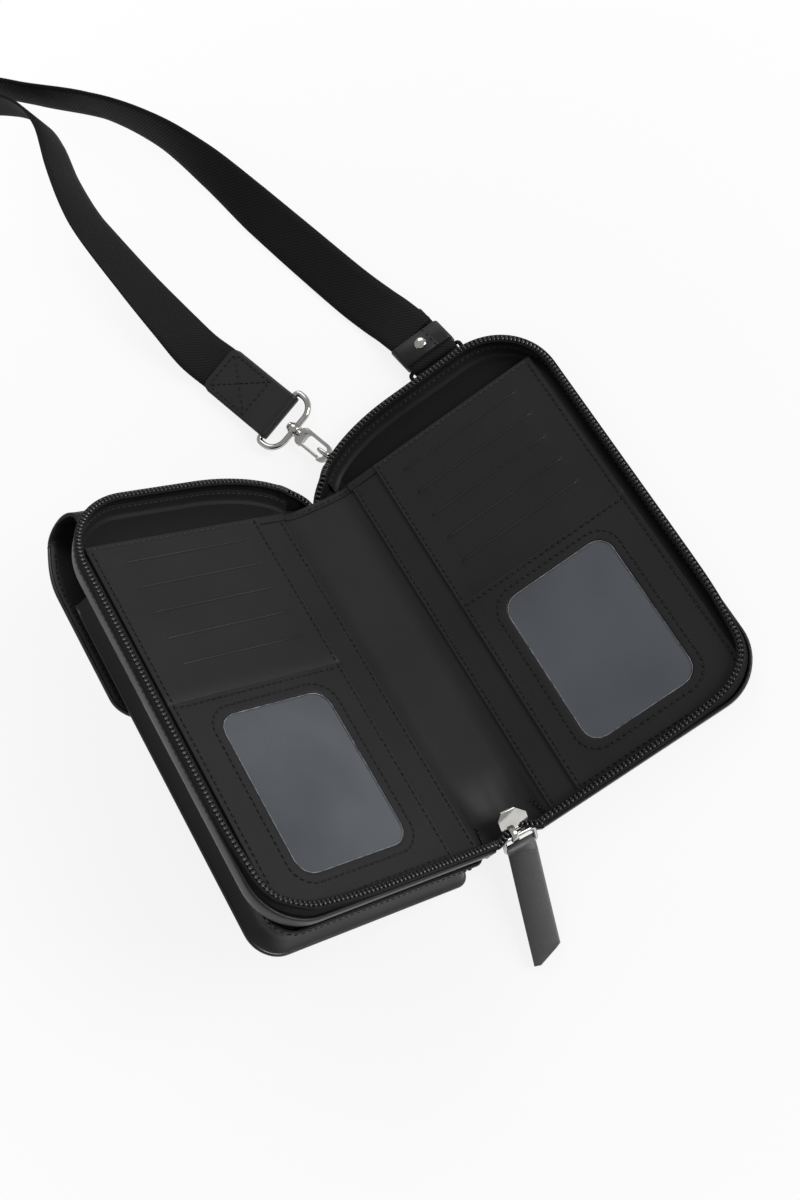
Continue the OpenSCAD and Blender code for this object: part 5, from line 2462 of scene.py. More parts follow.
    def chain_tail(self, side: Side, top: bool) -> None:
        """The end of a half's chain, from the rim's end to the spine's middle.

        Args:
            side: the half.
            top: whether it is the upper end.
        """
        half, spine = side.place, PLACES["spine"]
        width = 2 * SIZES.half_d
        if top:
            rim = Rim().line(CHAIN.inset)
            knots = [half.at(*rim[-3], 12.75), half.at(*rim[-1], 12.6)]
            course = ((5.6, 98.4, 11.3), (8.4, 95.9, 9.4), (10.9, 93.4, 6.9), (12.4, 91.4, 4.2))
        else:
            knots = [half.at(8.0, -92.6, 12.6), half.at(3.4, -92.6, 12.6)]
            course = ((3.0, -93.4, 12.4), (7.5, -91.6, 12.3), (11.3, -89.2, 12.5), (12.9, -86.2, 13.0))
        knots += [self.on_spine(side, *point) for point in course]
        line = [Vector(p) for p in spline(knots, 6)]
        ups = [half.up.lerp(spine.up, i / (len(line) - 1)).normalized() for i in range(len(line))]
        place = "top" if top else "bottom"
        coil = self.repeater.coil(f"chain_{place}_{side.value}_teeth", Row(line, ups), self.finishes.coil)
        strip, edges = [], ([], [])
        for i, q in enumerate(line):
            a, b = line[max(i - 1, 0)], line[min(i + 1, len(line) - 1)]
            up = ups[i]
            across = (b - a).cross(up).normalized()
            share = i / (len(line) - 1)
            foot = q - up * (8.0 - 6.0 * share) * MM
            if top:
                b = (q / MM - spine.origin).dot(spine.across)
                out = b if side is Side.RIGHT else width - b
                foot = self.on_spine(side, out, min(q.y / MM, self.top_at(-out) - 1.0), 0.9)
            strip.append(
                [q + (across * x + up * 0.05) * MM for x in (-0.9, 0.9)]
                + [foot + across * x * MM for x in (0.75, -0.2)]
            )
            for edge, x in zip(edges, (-CHAIN.bead_out, CHAIN.bead_out)):
                edge.append(q + (across * x + up * 0.4) * MM)
        tape = sharpen(loft(f"chain_{place}_{side.value}_tape", strip), 50)
        beads = [
            tube(f"chain_{place}_{side.value}_edge_{k}", edge, CHAIN.bead_r, 8)
            for k, edge in enumerate(edges)
        ]
        parts = [coil] + [dressed(part, self.finishes.tape) for part in (tape, *beads)]
        obj = join(f"chain_{place}_{side.value}", parts)
        self.blend(obj, side, [])

    def ends(self) -> None:
        """The bound ends of the zip at both ends of the spine."""
        spine = PLACES["spine"]
        for name, y0, y1 in (("top", 90.05, 91.3), ("bottom", -90.7, -89.5)):
            block = slab(
                f"zip_end_{name}_cloth", spine, box_outline(9.0, 19.0, y0, y1, 0.5, 3), 2.6, 6.6, 0.3,
            )
            row = Row([spine.at(9.8 + 8.4 * k / 8, y0 - 0.02, 4.4) for k in range(9)], spine.way(0, -1, 0))
            stitches = self.repeater.sew(
                f"zip_end_{name}_stitches", [row], Stitching.ZIP_END, self.finishes.thread,
            )
            obj = join(f"zip_end_{name}_bound", [dressed(block, self.finishes.tape), stitches])
            finish_piece(obj, "spine", self.finishes.tape, [f"zip_end_{name}"])

    def tacks(self) -> None:
        """The two short rows of tacking beside the slider."""
        for side in Side:
            place = side.place
            line = [place.at(3.6 + 1.3 * k / 5, -82.0 - 6.5 * k / 5, 8.0 - 0.06 * k) for k in range(6)]
            row = Row(line, place.up.copy())
            obj = self.repeater.sew(f"tack_{side.value}", [row], Stitching.TACK, self.finishes.thread)
            finish_piece(obj, side.body, self.finishes.thread)

    def build(self) -> None:
        """Make every piece of the spine."""
        for side in Side:
            self.outer(side)
            self.inner(side)
            self.chain_tail(side, True)
            self.chain_tail(side, False)
        self.ends()
        self.tacks()


@dataclass
class Slider:
    """The zip's slider with its bail, its ring and the folded leather puller.

    Attributes:
        finishes: the materials.
        repeater: the tree that sets stitches and teeth.
        lean: how far the slider is tilted, in degrees.
        width: its width.
        length: its length.
        plate: the thickness of each plate.
        gap: the room between its plates.
        wire: the thickness of the bail and the ring.
        ring_w: the ring's width between its wires' middles.
        ring_l: its length.
        drop: how far the ring hangs down from the spine, in degrees.
        yaw: how far the puller is turned, in degrees.
        dip: how far it dips.
        puller_w: its width.
        puller_l: its length.
        puller_t: the thickness of one of its layers.
        face: the outline of the slider's bright upper plate.
        flange: the outline of a plate's rolled flange, as shares of the slider's width and length.
        bail: the bail's course over the upper plate, as places along and out of the slider.
        seat: the slider's middle over the spine.
        eye_out: how far the ring's near bar stands out of that middle.
        eye_back: how far it lies back from it.
    """

    finishes: Finishes
    repeater: Repeater
    lean: float = 35.0
    width: float = 10.6
    length: float = 13.0
    plate: float = 1.4
    gap: float = 3.0
    wire: float = 2.0
    ring_w: float = 14.6
    ring_l: float = 6.5
    drop: float = 55.0
    yaw: float = 20.6
    dip: float = 10.5
    puller_w: float = 12.8
    puller_l: float = 50.0
    puller_t: float = 1.5
    face: Outline = (
        (-3.4, -6.9), (3.0, -6.9), (6.6, -2.6), (7.2, 4.8), (4.9, 8.3), (-1.6, 8.1), (-6.4, 3.2),
        (-7.0, -3.4),
    )
    flange: Outline = (
        (0.40, -0.38), (0.46, -0.15), (0.49, 0.18), (0.42, 0.18), (0.38, -0.15), (0.33, -0.38),
    )
    bail: Outline = ((-1.5, 4.1), (-2.9, 5.5), (-5.2, 6.0), (-6.9, 5.1), (-7.2, 3.8))
    seat: Point = (14.0, -86.5, 13.0)
    eye_out: float = 4.2
    eye_back: float = 5.0

    @property
    def place(self) -> Place:
        """The slider's place: along towards the inside, up out of its upper plate."""
        return PLACES["spine"].inside(*self.seat, 0, 90 - self.lean)

    @property
    def ring_place(self) -> Place:
        """The ring's place, with its near bar at the middle.

        Returns:
            The place: the ring runs from it against its along direction.
        """
        c, s = math.cos(math.radians(self.lean)), math.sin(math.radians(self.lean))
        x, y, z = self.seat
        out, back = self.eye_out, self.eye_back
        return PLACES["spine"].inside(x, y - out * c - back * s, z + out * s - back * c, 0, self.drop)

    def plate_outline(self, grow: float) -> list[tuple[float, float]]:
        """A plate's outline: wide shoulders towards the chain's two sides, narrow at its tail.

        Args:
            grow: how much larger it is all round than the plate.

        Returns:
            The outline.
        """
        w, l = self.width / 2 + grow, self.length / 2 + grow
        return [
            (-w * 0.62, -l), (w * 0.62, -l), (w * 0.78, -l * 0.35), (w, l * 0.2), (w * 0.86, l * 0.72),
            (w * 0.4, l), (-w * 0.4, l), (-w * 0.86, l * 0.72), (-w, l * 0.2), (-w * 0.78, -l * 0.35),
        ]

    def slider(self) -> None:
        """Both plates with their rolled flanges, the wedge between them, and the bail."""
        place = self.place
        parts = []
        half_gap, top = self.gap / 2, self.gap / 2 + self.plate
        lower = [(x, y - 2.2) for x, y in self.plate_outline(-0.8)]
        for name, z, outline, edge, flange in (
            ("upper", half_gap, self.face, 0.3, (half_gap - 0.75, half_gap + 0.3)),
            ("lower", -half_gap - self.plate, lower, 0.45, (-half_gap - 0.3, -half_gap + 0.75)),
        ):
            parts.append(slab(f"slider_{name}", place, outline, z, z + self.plate, edge))
            for s in (-1, 1):
                side = [(s * self.width * x, self.length * y) for x, y in self.flange]
                parts.append(slab(f"slider_{name}_flange_{s}", place, side, *flange, 0.2))
        wedge = box_outline(-1.3, 1.3, 1.5, 5.8, 1.2, 5)
        parts.append(slab("slider_wedge", place, wedge, -half_gap, half_gap, 0.15))
        bail = [(-0.9, top - 0.4), *self.bail, (-6.2, top - 0.6)]
        line = [Vector(p) for p in spline([place.at(2.2, y, z) for y, z in bail], 5)]
        parts.append(self.strap("slider_bail", line, 1.4, 0.75, place.across))
        obj = join("slider_body", parts)
        finish_piece(obj, "slider", self.finishes.nickel, ["zip_slider"])

    def strap(
        self, name: str, line: Sequence[Vector], half_w: float, thick: float, across: Vector,
    ) -> bpy.types.Object:
        """A flat metal strap along a line.

        Args:
            name: the object's name.
            line: its middle line, in metres.
            half_w: half its width.
            thick: its thickness.
            across: the direction of its width.

        Returns:
            The strap.
        """
        section = ((-1, -0.6), (-0.85, -1), (0.85, -1), (1, -0.6), (1, 0.6), (0.85, 1), (-0.85, 1), (-1, 0.6))
        rings = []
        for i, q in enumerate(line):
            a, b = line[max(i - 1, 0)], line[min(i + 1, len(line) - 1)]
            normal = (b - a).normalized().cross(across).normalized()
            rings.append([q + across * x * half_w * MM + normal * z * thick / 2 * MM for x, z in section])
        return sharpen(loft(name, rings), 50)

    def ring(self) -> None:
        """The wire ring between the bail and the puller."""
        line = resample_loop(ring_line(self.ring_place, self.ring_w, self.ring_l, 1.3, 1.3), 0.7)
        obj = tube("puller_ring_wire", line, self.wire / 2, 14, True)
        finish_piece(obj, "pull_ring", self.finishes.nickel, ["puller_ring"])

    def pull_bar(self) -> Vector:
        """Middle of the ring's far bar, in millimetres."""
        return self.ring_place.at(0, -self.ring_l, 0) / MM

    def puller(self) -> None:
        """The leather strip: two layers folded round the ring, with rounded edges and a slanted end."""
        bar = self.pull_bar()
        place = WORLD.inside(bar.x, bar.y, bar.z, -self.yaw, self.dip)
        spine = PLACES["spine"]
        w, l, t = self.puller_w / 2, self.puller_l, self.puller_t
        wrap = self.wire / 2 + 0.15 + t
        parts = []
        for name, z0, z1 in (("upper", 0.04, t), ("lower", -t, -0.04)):
            ys = [-2.4 - (l - 2.4) * k / 26 for k in range(27)]
            rings = []
            for j, y in enumerate(ys):
                left = -w
                right = w if y > -l + self.puller_w * 0.55 else w - (w + w * 0.55) * (
                    (-l + self.puller_w * 0.55 - y) / (self.puller_w * 0.55)
                )
                end = 0.25 if j in (0, len(ys) - 1) else 0.0
                bow = 0.25 * math.sin(math.pi * j / (len(ys) - 1))
                outline = [
                    (left, z0 + 0.3), (left + 0.3, z0 + end), (right - 0.3, z0 + end), (right, z0 + 0.3),
                    (right, z1 - 0.35), (right - 0.35, z1 - end), (left + 0.35, z1 - end), (left, z1 - 0.35),
                ]
                rings.append([place.at(x, y, z + bow) for x, z in outline])
            parts.append(sharpen(loft(f"puller_{name}", rings), 60))
        rings = []
        for x in (-w, -w + 0.35, w - 0.35, w):
            r = wrap - (0.35 if abs(x) > w - 0.1 else 0.0)
            ring = []
            centre = spine.across * (x if spine.across.x > 0 else -x)
            for k in range(26):
                a = math.radians(-100 + 200 * k / 25)
                ring.append((bar + centre + place.along * r * math.cos(a) + place.up * r * math.sin(a)) * MM)
            ring += [place.at(x, -3.4, z) for z in (t - 0.03, 0.03 - t)]
            rings.append(ring)
        parts.append(sharpen(loft("puller_fold", rings), 60))
        # The puller's leather is the lit copy: its light colour is painted light on the upturned face.
        obj = join("puller_strap", [dressed(part, self.finishes.puller) for part in parts])
        finish_piece(obj, "puller", self.finishes.puller, ["puller"])

    def build(self) -> None:
        """Make every piece of the slider."""
        self.slider()
        self.ring()
        self.puller()


def resample_loop(points: Sequence[Vector], pitch: float) -> list[Vector]:
    """A closed line of points at nearly even steps, in millimetres.

    Args:
        points: the line, in metres.
        pitch: the step, in millimetres.

    Returns:
        The points, at least 24 of them.
    """
    closed = list(points) + [points[0]]
    total = sum((b - a).length for a, b in zip(closed, closed[1:]))
    count = max(24, round(total / (pitch * MM)))
    out = resample(closed, total / count)
    return out[:count]


def revolve(
    name: str, place: Place, profile: Sequence[tuple[float, float]], sides: int = 28,
) -> bpy.types.Object:
    """A turned piece about a place's up direction.

    Args:
        name: the object's name.
        place: its place.
        profile: its radii and heights from one end to the other.
        sides: how many sides it has.

    Returns:
        The piece.
    """
    rings = [
        [
            place.at(
                max(r, 0.01) * math.cos(math.tau * k / sides), max(r, 0.01) * math.sin(math.tau * k / sides),
                z,
            )
            for k in range(sides)
        ]
        for r, z in profile
    ]
    return sharpen(loft(name, rings), 50)


# The phone pocket and its flap


@dataclass
class Pocket:
    """The phone pocket behind the left half: soft walls, front with its hem, and the folded flap.

    Attributes:
        finishes: the materials.
        repeater: the tree that sets stitches and teeth.
        width: its width from the seam.
        corner: the radius of its outer lower corner.
        mouth: the height of its mouth.
        sink: how far its walls fold inwards.
        fold_y: the height where the flap's turn starts.
        turn_r: the radius of the flap's turn.
        flap_t: the flap's thickness.
        flap_low: the height of the flap's lower edge.
        flap_x: the flap's two side edges.
        fold_x: the fold's two ends.
        flat: how far the fold stands out past the mouth, as a share of its radius.
        spread: how much wider the fold grows at each end before the front starts.
    """

    finishes: Finishes
    repeater: Repeater
    width: float = 111.0
    corner: float = 13.0
    mouth: float = 80.0
    sink: float = 3.4
    fold_y: float = 114.3
    turn_r: float = 10.6
    flap_t: float = 1.8
    flap_low: float = 22.0
    flap_x: tuple[float, float] = (4.0, 115.0)
    fold_x: tuple[float, float] = (24.0, 101.0)
    flat: float = 0.5
    spread: float = 7.0

    @property
    def place(self) -> Place:
        """The left half's place."""
        return PLACES["left_half"]

    def line(self, inset: float) -> list[tuple[float, float]]:
        """The pocket's outline from its mouth by the seam round to its mouth at the outer side.

        Args:
            inset: how far it is moved inwards.

        Returns:
            The points, the same number for any inset.
        """
        low, near, far = SIZES.y_bottom + inset, 0.15 + inset, self.width - inset
        r1, r2 = max(0.8, self.corner / 2 - inset), max(0.8, self.corner - inset)
        first, second = (near, self.mouth), arc(near + r1, low + r1, r1, r1, 180, 270, 8)
        third = arc(far - r2, low + r2, r2, r2, -90, 0, 12)
        return (
            [first] + straight(first, second[0], 30) + second + straight(second[-1], third[0], 24) + third
            + straight(third[-1], (far, self.mouth), 30) + [(far, self.mouth)]
        )

    def walls(self) -> None:
        """The pocket's walls, folded softly inwards, with a seam at the outer corner and a stitched edge."""
        s = self.sink
        profile = [
            (0.6, -0.15), (0.35, -0.9), (0.9, -1.9), (s * 0.62, -4.2), (s * 0.95, -7.2), (s, -9.6),
            (s * 0.9, -12.2), (s * 0.5, -15.2),
            (0.75, -16.9), (0.25, -17.15), (0.1, -17.3), (1.7, -17.3), (2.2, -16.4), (s * 0.5 + 1.2, -15.0),
            (s * 0.9 + 1.2, -12.2), (s + 1.2, -9.6),
            (s * 0.95 + 1.2, -7.2), (s * 0.62 + 1.2, -4.2), (2.0, -1.9), (1.6, -0.9), (1.6, -0.15),
        ]
        lines = [self.line(inset) for inset, _ in profile]
        rings = []
        for i in range(len(lines[0])):
            crease = math.exp(-((i - 70) / 2.2) ** 2) * 0.7
            ring = []
            for line, (inset, z) in zip(lines, profile):
                x, y = line[i]
                deep = clamp((inset - 0.5) / s)
                ring.append(
                    self.place.at(
                        x - crease * deep * 0.6,
                        y + 0.25 * deep * noise.noise(Vector((x * 0.04, y * 0.04, z * 0.08))), z,
                    )
                )
            rings.append(ring)
        wall = sharpen(loft("pocket_walls_skin", rings), 60)
        outward = [-v for v in ways_in(self.place, self.line(0.25), self.line(3.0), 0)]
        line = [(self.place.at(x, y, -1.25), v) for (x, y), v in zip(self.line(0.4), outward) if x > 7]
        rows = [Row([q for q, _ in line], [v for _, v in line])]
        mouth_row = Row(
            [
                self.place.at(
                    self.width - 0.85 - self.sink * k / 6 * 0.9, self.mouth - 2.2, -1.6 - 7.4 * k / 6,
                )
                for k in range(7)
            ],
            self.place.way(1, 0, 0),
        )
        stitches = self.repeater.sew(
            "pocket_wall_stitches", rows + [mouth_row], Stitching.PANEL, self.finishes.thread,
        )
        obj = join("pocket_walls", [dressed(wall, self.finishes.shell), stitches])
        finish_piece(obj, "left_half", self.finishes.shell, ["pocket_gusset"])

    def front(self) -> None:
        """The pocket's front: two layers with a folded hem at the mouth and stitching round its edge."""
        place = self.place
        parts = []
        for name, z0, z1, inset in (("inner", -17.95, -17.2, 0.15), ("outer", -19.0, -18.0, 0.0)):
            line = self.line(inset)
            parts.append(slab(f"pocket_front_{name}", place, line, z0, z1, 0.3))
        hem = slab(
            "pocket_front_hem", place,
            box_outline(0.3, self.width - 0.3, self.mouth - 9, self.mouth + 0.1, 0.6, 3), -19.25, -18.6, 0.25,
        )
        parts = [dressed(part, self.finishes.shell) for part in (*parts, hem)]
        edge = tube("pocket_front_edge", [place.at(x, y, -18.15) for x, y in self.line(0.35)], 1.0, 10)
        parts.append(dressed(edge, self.finishes.paint))
        rows = [Row([place.at(x, y, -19.02) for x, y in self.line(2.4)], -place.up)]
        for y in (self.mouth - 7.6, self.mouth - 1.8):
            rows.append(
                Row([place.at(2 + (self.width - 4) * k / 60, y, -19.27) for k in range(61)], -place.up)
            )
        stitches = self.repeater.sew(
            "pocket_front_stitches", rows, Stitching.PANEL, self.finishes.thread,
        )
        obj = join("pocket_front_leather", parts + [stitches])
        finish_piece(
            obj, "left_half", self.finishes.shell, ["pocket_front", "pocket_magnet"],
        )

    def strip(
        self, name: str, rows: Sequence[tuple[float, float, float, float, float, float]],
    ) -> bpy.types.Object:
        """A thick sheet along a path.

        Args:
            name: the object's name.
            rows: for each step its height and depth, the normal's two parts, and its two side edges.

        Returns:
            The sheet.
        """
        h, e, cols, rings = self.flap_t / 2, 0.4, 24, []
        for j, (y, z, ny, nz, x0, x1) in enumerate(rows):
            end = e if j in (0, len(rows) - 1) else 0.0
            ring = []
            for side in (1, -1):
                xs = [x0] + [x0 + (x1 - x0) * k / cols for k in range(1, cols)] + [x1]
                if side < 0:
                    xs = xs[::-1]
                for k, x in enumerate(xs):
                    edge = k in (0, cols)
                    lift = h - (e if edge else end)
                    puff = 0.0 if edge else 0.22 * noise.noise(Vector((x * 0.035, y * 0.03 + z * 0.05, 4.4)))
                    ring.append(
                        self.place.at(x, y + ny * (side * lift + puff), z + nz * (side * lift + puff))
                    )
                    if edge:
                        inward = e if x == x0 else -e
                        ring.append(
                            self.place.at(x + inward, y + ny * side * (h - end), z + nz * side * (h - end))
                        )
                        if (side > 0) == (x == x1):
                            ring[-1], ring[-2] = ring[-2], ring[-1]
            rings.append(ring)
        return dressed(sharpen(loft(name, rings), 60), self.finishes.shell)

    def flap_back(self) -> None:
        """The flap's root, sewn to the back, and the first half of its turn."""
        x0, x1 = self.fold_x
        rows = [(97.3 + (self.fold_y - 97.3) * k / 10, -self.flap_t / 2, 0.0, 1.0, x0, x1) for k in range(10)]
        for k in range(13):
            a = math.radians(90 - 90 * k / 12)
            rows.append((*self.turn_at(a), *self.fold_edges(k / 24)))
        sheet = self.strip("flap_back_sheet", rows)
        lines = [
            Row(
                [self.place.at(x0 + 1.5 + (x1 - x0 - 3) * k / 40, y, -self.flap_t - 0.02) for k in range(41)],
                -self.place.up,
            )
            for y in (99.2, 104.0)
        ]
        lines += [
            Row([self.place.at(x, 99.2 + 5 * k / 6, -self.flap_t - 0.02) for k in range(7)], -self.place.up)
            for x in (x0 + 1.5, x1 - 1.5)
        ]
        stitches = self.repeater.sew("flap_back_stitches", lines, Stitching.PANEL, self.finishes.thread)
        obj = join("flap_back", [sheet, stitches])
        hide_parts("flap_root", "flap_turn")
        a, b = (self.place.at(60, self.fold_y + reach, -0.9) for reach in (-2.5, 2.5))
        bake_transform(obj)
        LOG.info("%s: %d faces", obj.name, len(obj.data.polygons))

    def turn_at(self, angle: float) -> tuple[float, float, float, float]:
        """The flap's turn at an angle: its height and depth, and its normal's two parts.

        Args:
            angle: the angle, from a right angle at the back to minus one at the front.

        Returns:
            The height, the depth, and the normal's parts along both.
        """
        mid = self.turn_r - self.flap_t / 2
        c, s = math.cos(angle), math.sin(angle)
        size = math.hypot(c, s * self.flat)
        return self.fold_y + mid * self.flat * c, -self.turn_r + mid * s, c / size, s * self.flat / size

    def fold_edges(self, share: float) -> tuple[float, float]:
        """The fold's two ends at a share of its turn: it grows wider towards the front."""
        x0, x1 = self.fold_x
        return x0 - self.spread * share, x1 + self.spread * share

    def side_edges(self, y: float) -> tuple[float, float]:
        """The flap's two side edges at a height.

        Args:
            y: the height.

        Returns:
            The edge by the seam and the outer edge.
        """
        x0, x1 = self.flap_x
        f0, f1 = self.fold_edges(1.0)
        high = self.fold_y - self.flap_t / 2 - 0.3
        top, r = 26.0, 12.0
        if y > high:
            return f0, f1
        if y > high - top:
            k = math.sin(math.pi / 2 * (high - y) / top)
            return f0 - (f0 - x0) * k, f1 + (x1 - f1) * k
        if y < self.flap_low + r:
            k = r - math.sqrt(max(0.0, r * r - (self.flap_low + r - y) ** 2))
            return x0 + k, x1 - k
        return x0, x1

    def flap_front(self) -> None:
        """The second half of the flap's turn and its front, with stitching round its edge."""
        rows = []
        for k in range(13):
            a = math.radians(-90 * k / 12)
            rows.append((*self.turn_at(a), *self.fold_edges((12 + k) / 24)))
        d = -2 * self.turn_r + self.flap_t / 2
        ys = [
            self.fold_y - 0.6, self.fold_y - 1.15, self.fold_y - 1.25, self.fold_y - 1.5, self.fold_y - 2.2,
            self.fold_y - 3.4,
        ]
        ys += [self.fold_y - 3.4 - (self.fold_y - 3.4 - 34.0) * k / 34 for k in range(1, 35)]
        ys += [34 - 12 * math.sin(math.radians(90 * k / 12)) for k in range(1, 13)]
        rows += [(y, d, 0.0, -1.0, *self.side_edges(y)) for y in ys]
        sheet = self.strip("flap_front_sheet", rows)
        heights = [108 - (108 - self.flap_low - 2.5) * k / 60 for k in range(61)]
        sides = [self.side_edges(max(y, self.flap_low + 0.4)) for y in heights]
        edge = [(x1 - 2.6, y) for (_, x1), y in zip(sides, heights)]
        other = [(x0 + 2.6, y) for (x0, _), y in zip(sides, heights)][::-1]
        outline = edge + [(p[0], self.flap_low + 2.5) for p in (edge[-1], other[0])] + other
        rows_sewn = [
            Row([self.place.at(x, y, z) for x, y in outline], up)
            for z, up in (
                (d - self.flap_t / 2 - 0.04, -self.place.up),
                (d + self.flap_t / 2 + 0.04, self.place.up.copy()),
            )
        ]
        stitches = self.repeater.sew(
            "flap_front_stitches", rows_sewn, Stitching.PANEL, self.finishes.thread,
        )
        side = [self.side_edges(max(y, self.flap_low + 0.02)) + (y,) for y in ys]
        border = [(x1, y) for _, x1, y in side] + [(x0, y) for x0, _, y in side[::-1]]
        rim = [
            self.place.at(x + (0.35 if x < 60 else -0.35), max(y, self.flap_low + 0.35), d)
            for x, y in border
        ]
        edge = tube("flap_front_edge", rim, self.flap_t / 2 + 0.1, 10)
        obj = join("flap_front_leather", [sheet, stitches, dressed(edge, self.finishes.paint)])
        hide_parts("flap_front", "flap_magnet")
        a, b = (self.place.at(60, self.fold_y + reach, d) for reach in (2.5, -2.5))
        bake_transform(obj)
        LOG.info("%s: %d faces", obj.name, len(obj.data.polygons))

    def build(self) -> None:
        """Make every piece of the pocket."""
        self.walls()
        self.front()
        self.flap_back()
        self.flap_front()


# Rings and the strap's fittings


@dataclass
class Rings:
    """The two ring tabs on the right half and their rings.

    Attributes:
        finishes: the materials.
        hook_at: where the hook ring's tab meets the wall.
        hook_turn: how far that tab is turned, in degrees.
        strap_at: the strap ring's inner bar.
        tab_out: how far the hook ring's bar stands off the wall.
        tab_r: the radius of a tab's fold.
    """

    finishes: Finishes
    hook_at: tuple[float, float] = (-5.0, 106.08)
    hook_turn: float = 24.5
    strap_at: Point = (60.0, 114.9, 4.7)
    tab_out: float = 2.4
    tab_r: float = 1.9

    def hook_side(self) -> None:
        """The small ring that the snap hook holds, and its leather tab."""
        place = WORLD.inside(*self.hook_at, 6.2, self.hook_turn)
        r = self.tab_r
        outline = [(-r, -1.2), (r, -1.2)] + arc(0, self.tab_out, r, r, 0, 180, 12)
        tab = slab("hook_ring_leather", place, outline, -3.0, 3.0, 0.5)
        finish_piece(tab, "right_half", self.finishes.shell, ["hook_ring_tab"])
        pivot = place.inside(0, self.tab_out, 0)
        loop = Place(pivot.origin, place.up, -place.along, place.across)
        ring = tube("hook_ring_wire", resample_loop(ring_line(loop, 10, 6.4, 1.6, 1.6), 0.6), 1.0, 14, True)
        finish_piece(ring, "hook_ring", self.finishes.nickel, ["hook_ring"])

    def strap_side(self) -> None:
        """The wide ring that the strap's other end is turned round, and its leather tab."""
        place = WORLD.inside(*self.strap_at)
        r, rings = self.tab_r, []
        for x in (-9.0, -8.6, 8.6, 9.0):
            shrink = 0.4 if abs(x) > 8.8 else 0.0
            ring = [place.at(x, -2.6, -r * 0.62 + shrink)]
            ring += [
                place.at(x, (r - shrink) * math.cos(a), (r - shrink) * math.sin(a))
                for a in (math.radians(-105 + 210 * k / 20) for k in range(21))
            ]
            ring.append(place.at(x, -2.6, r * 0.62 - shrink))
            rings.append(ring)
        tab = sharpen(loft("strap_ring_leather", rings), 60)
        finish_piece(tab, "right_half", self.finishes.shell, ["strap_ring_tab"])
        loop = Place(place.origin, place.across, -place.along, place.up)
        ring = tube(
            "strap_ring_wire", resample_loop(ring_line(loop, 27.8, 5.8, 1.6, 1.6), 0.6), 1.0, 14, True,
        )
        finish_piece(ring, "strap_ring", self.finishes.black, ["strap_ring"])

    def build(self) -> None:
        """Make both rings with their tabs."""
        self.hook_side()
        self.strap_side()


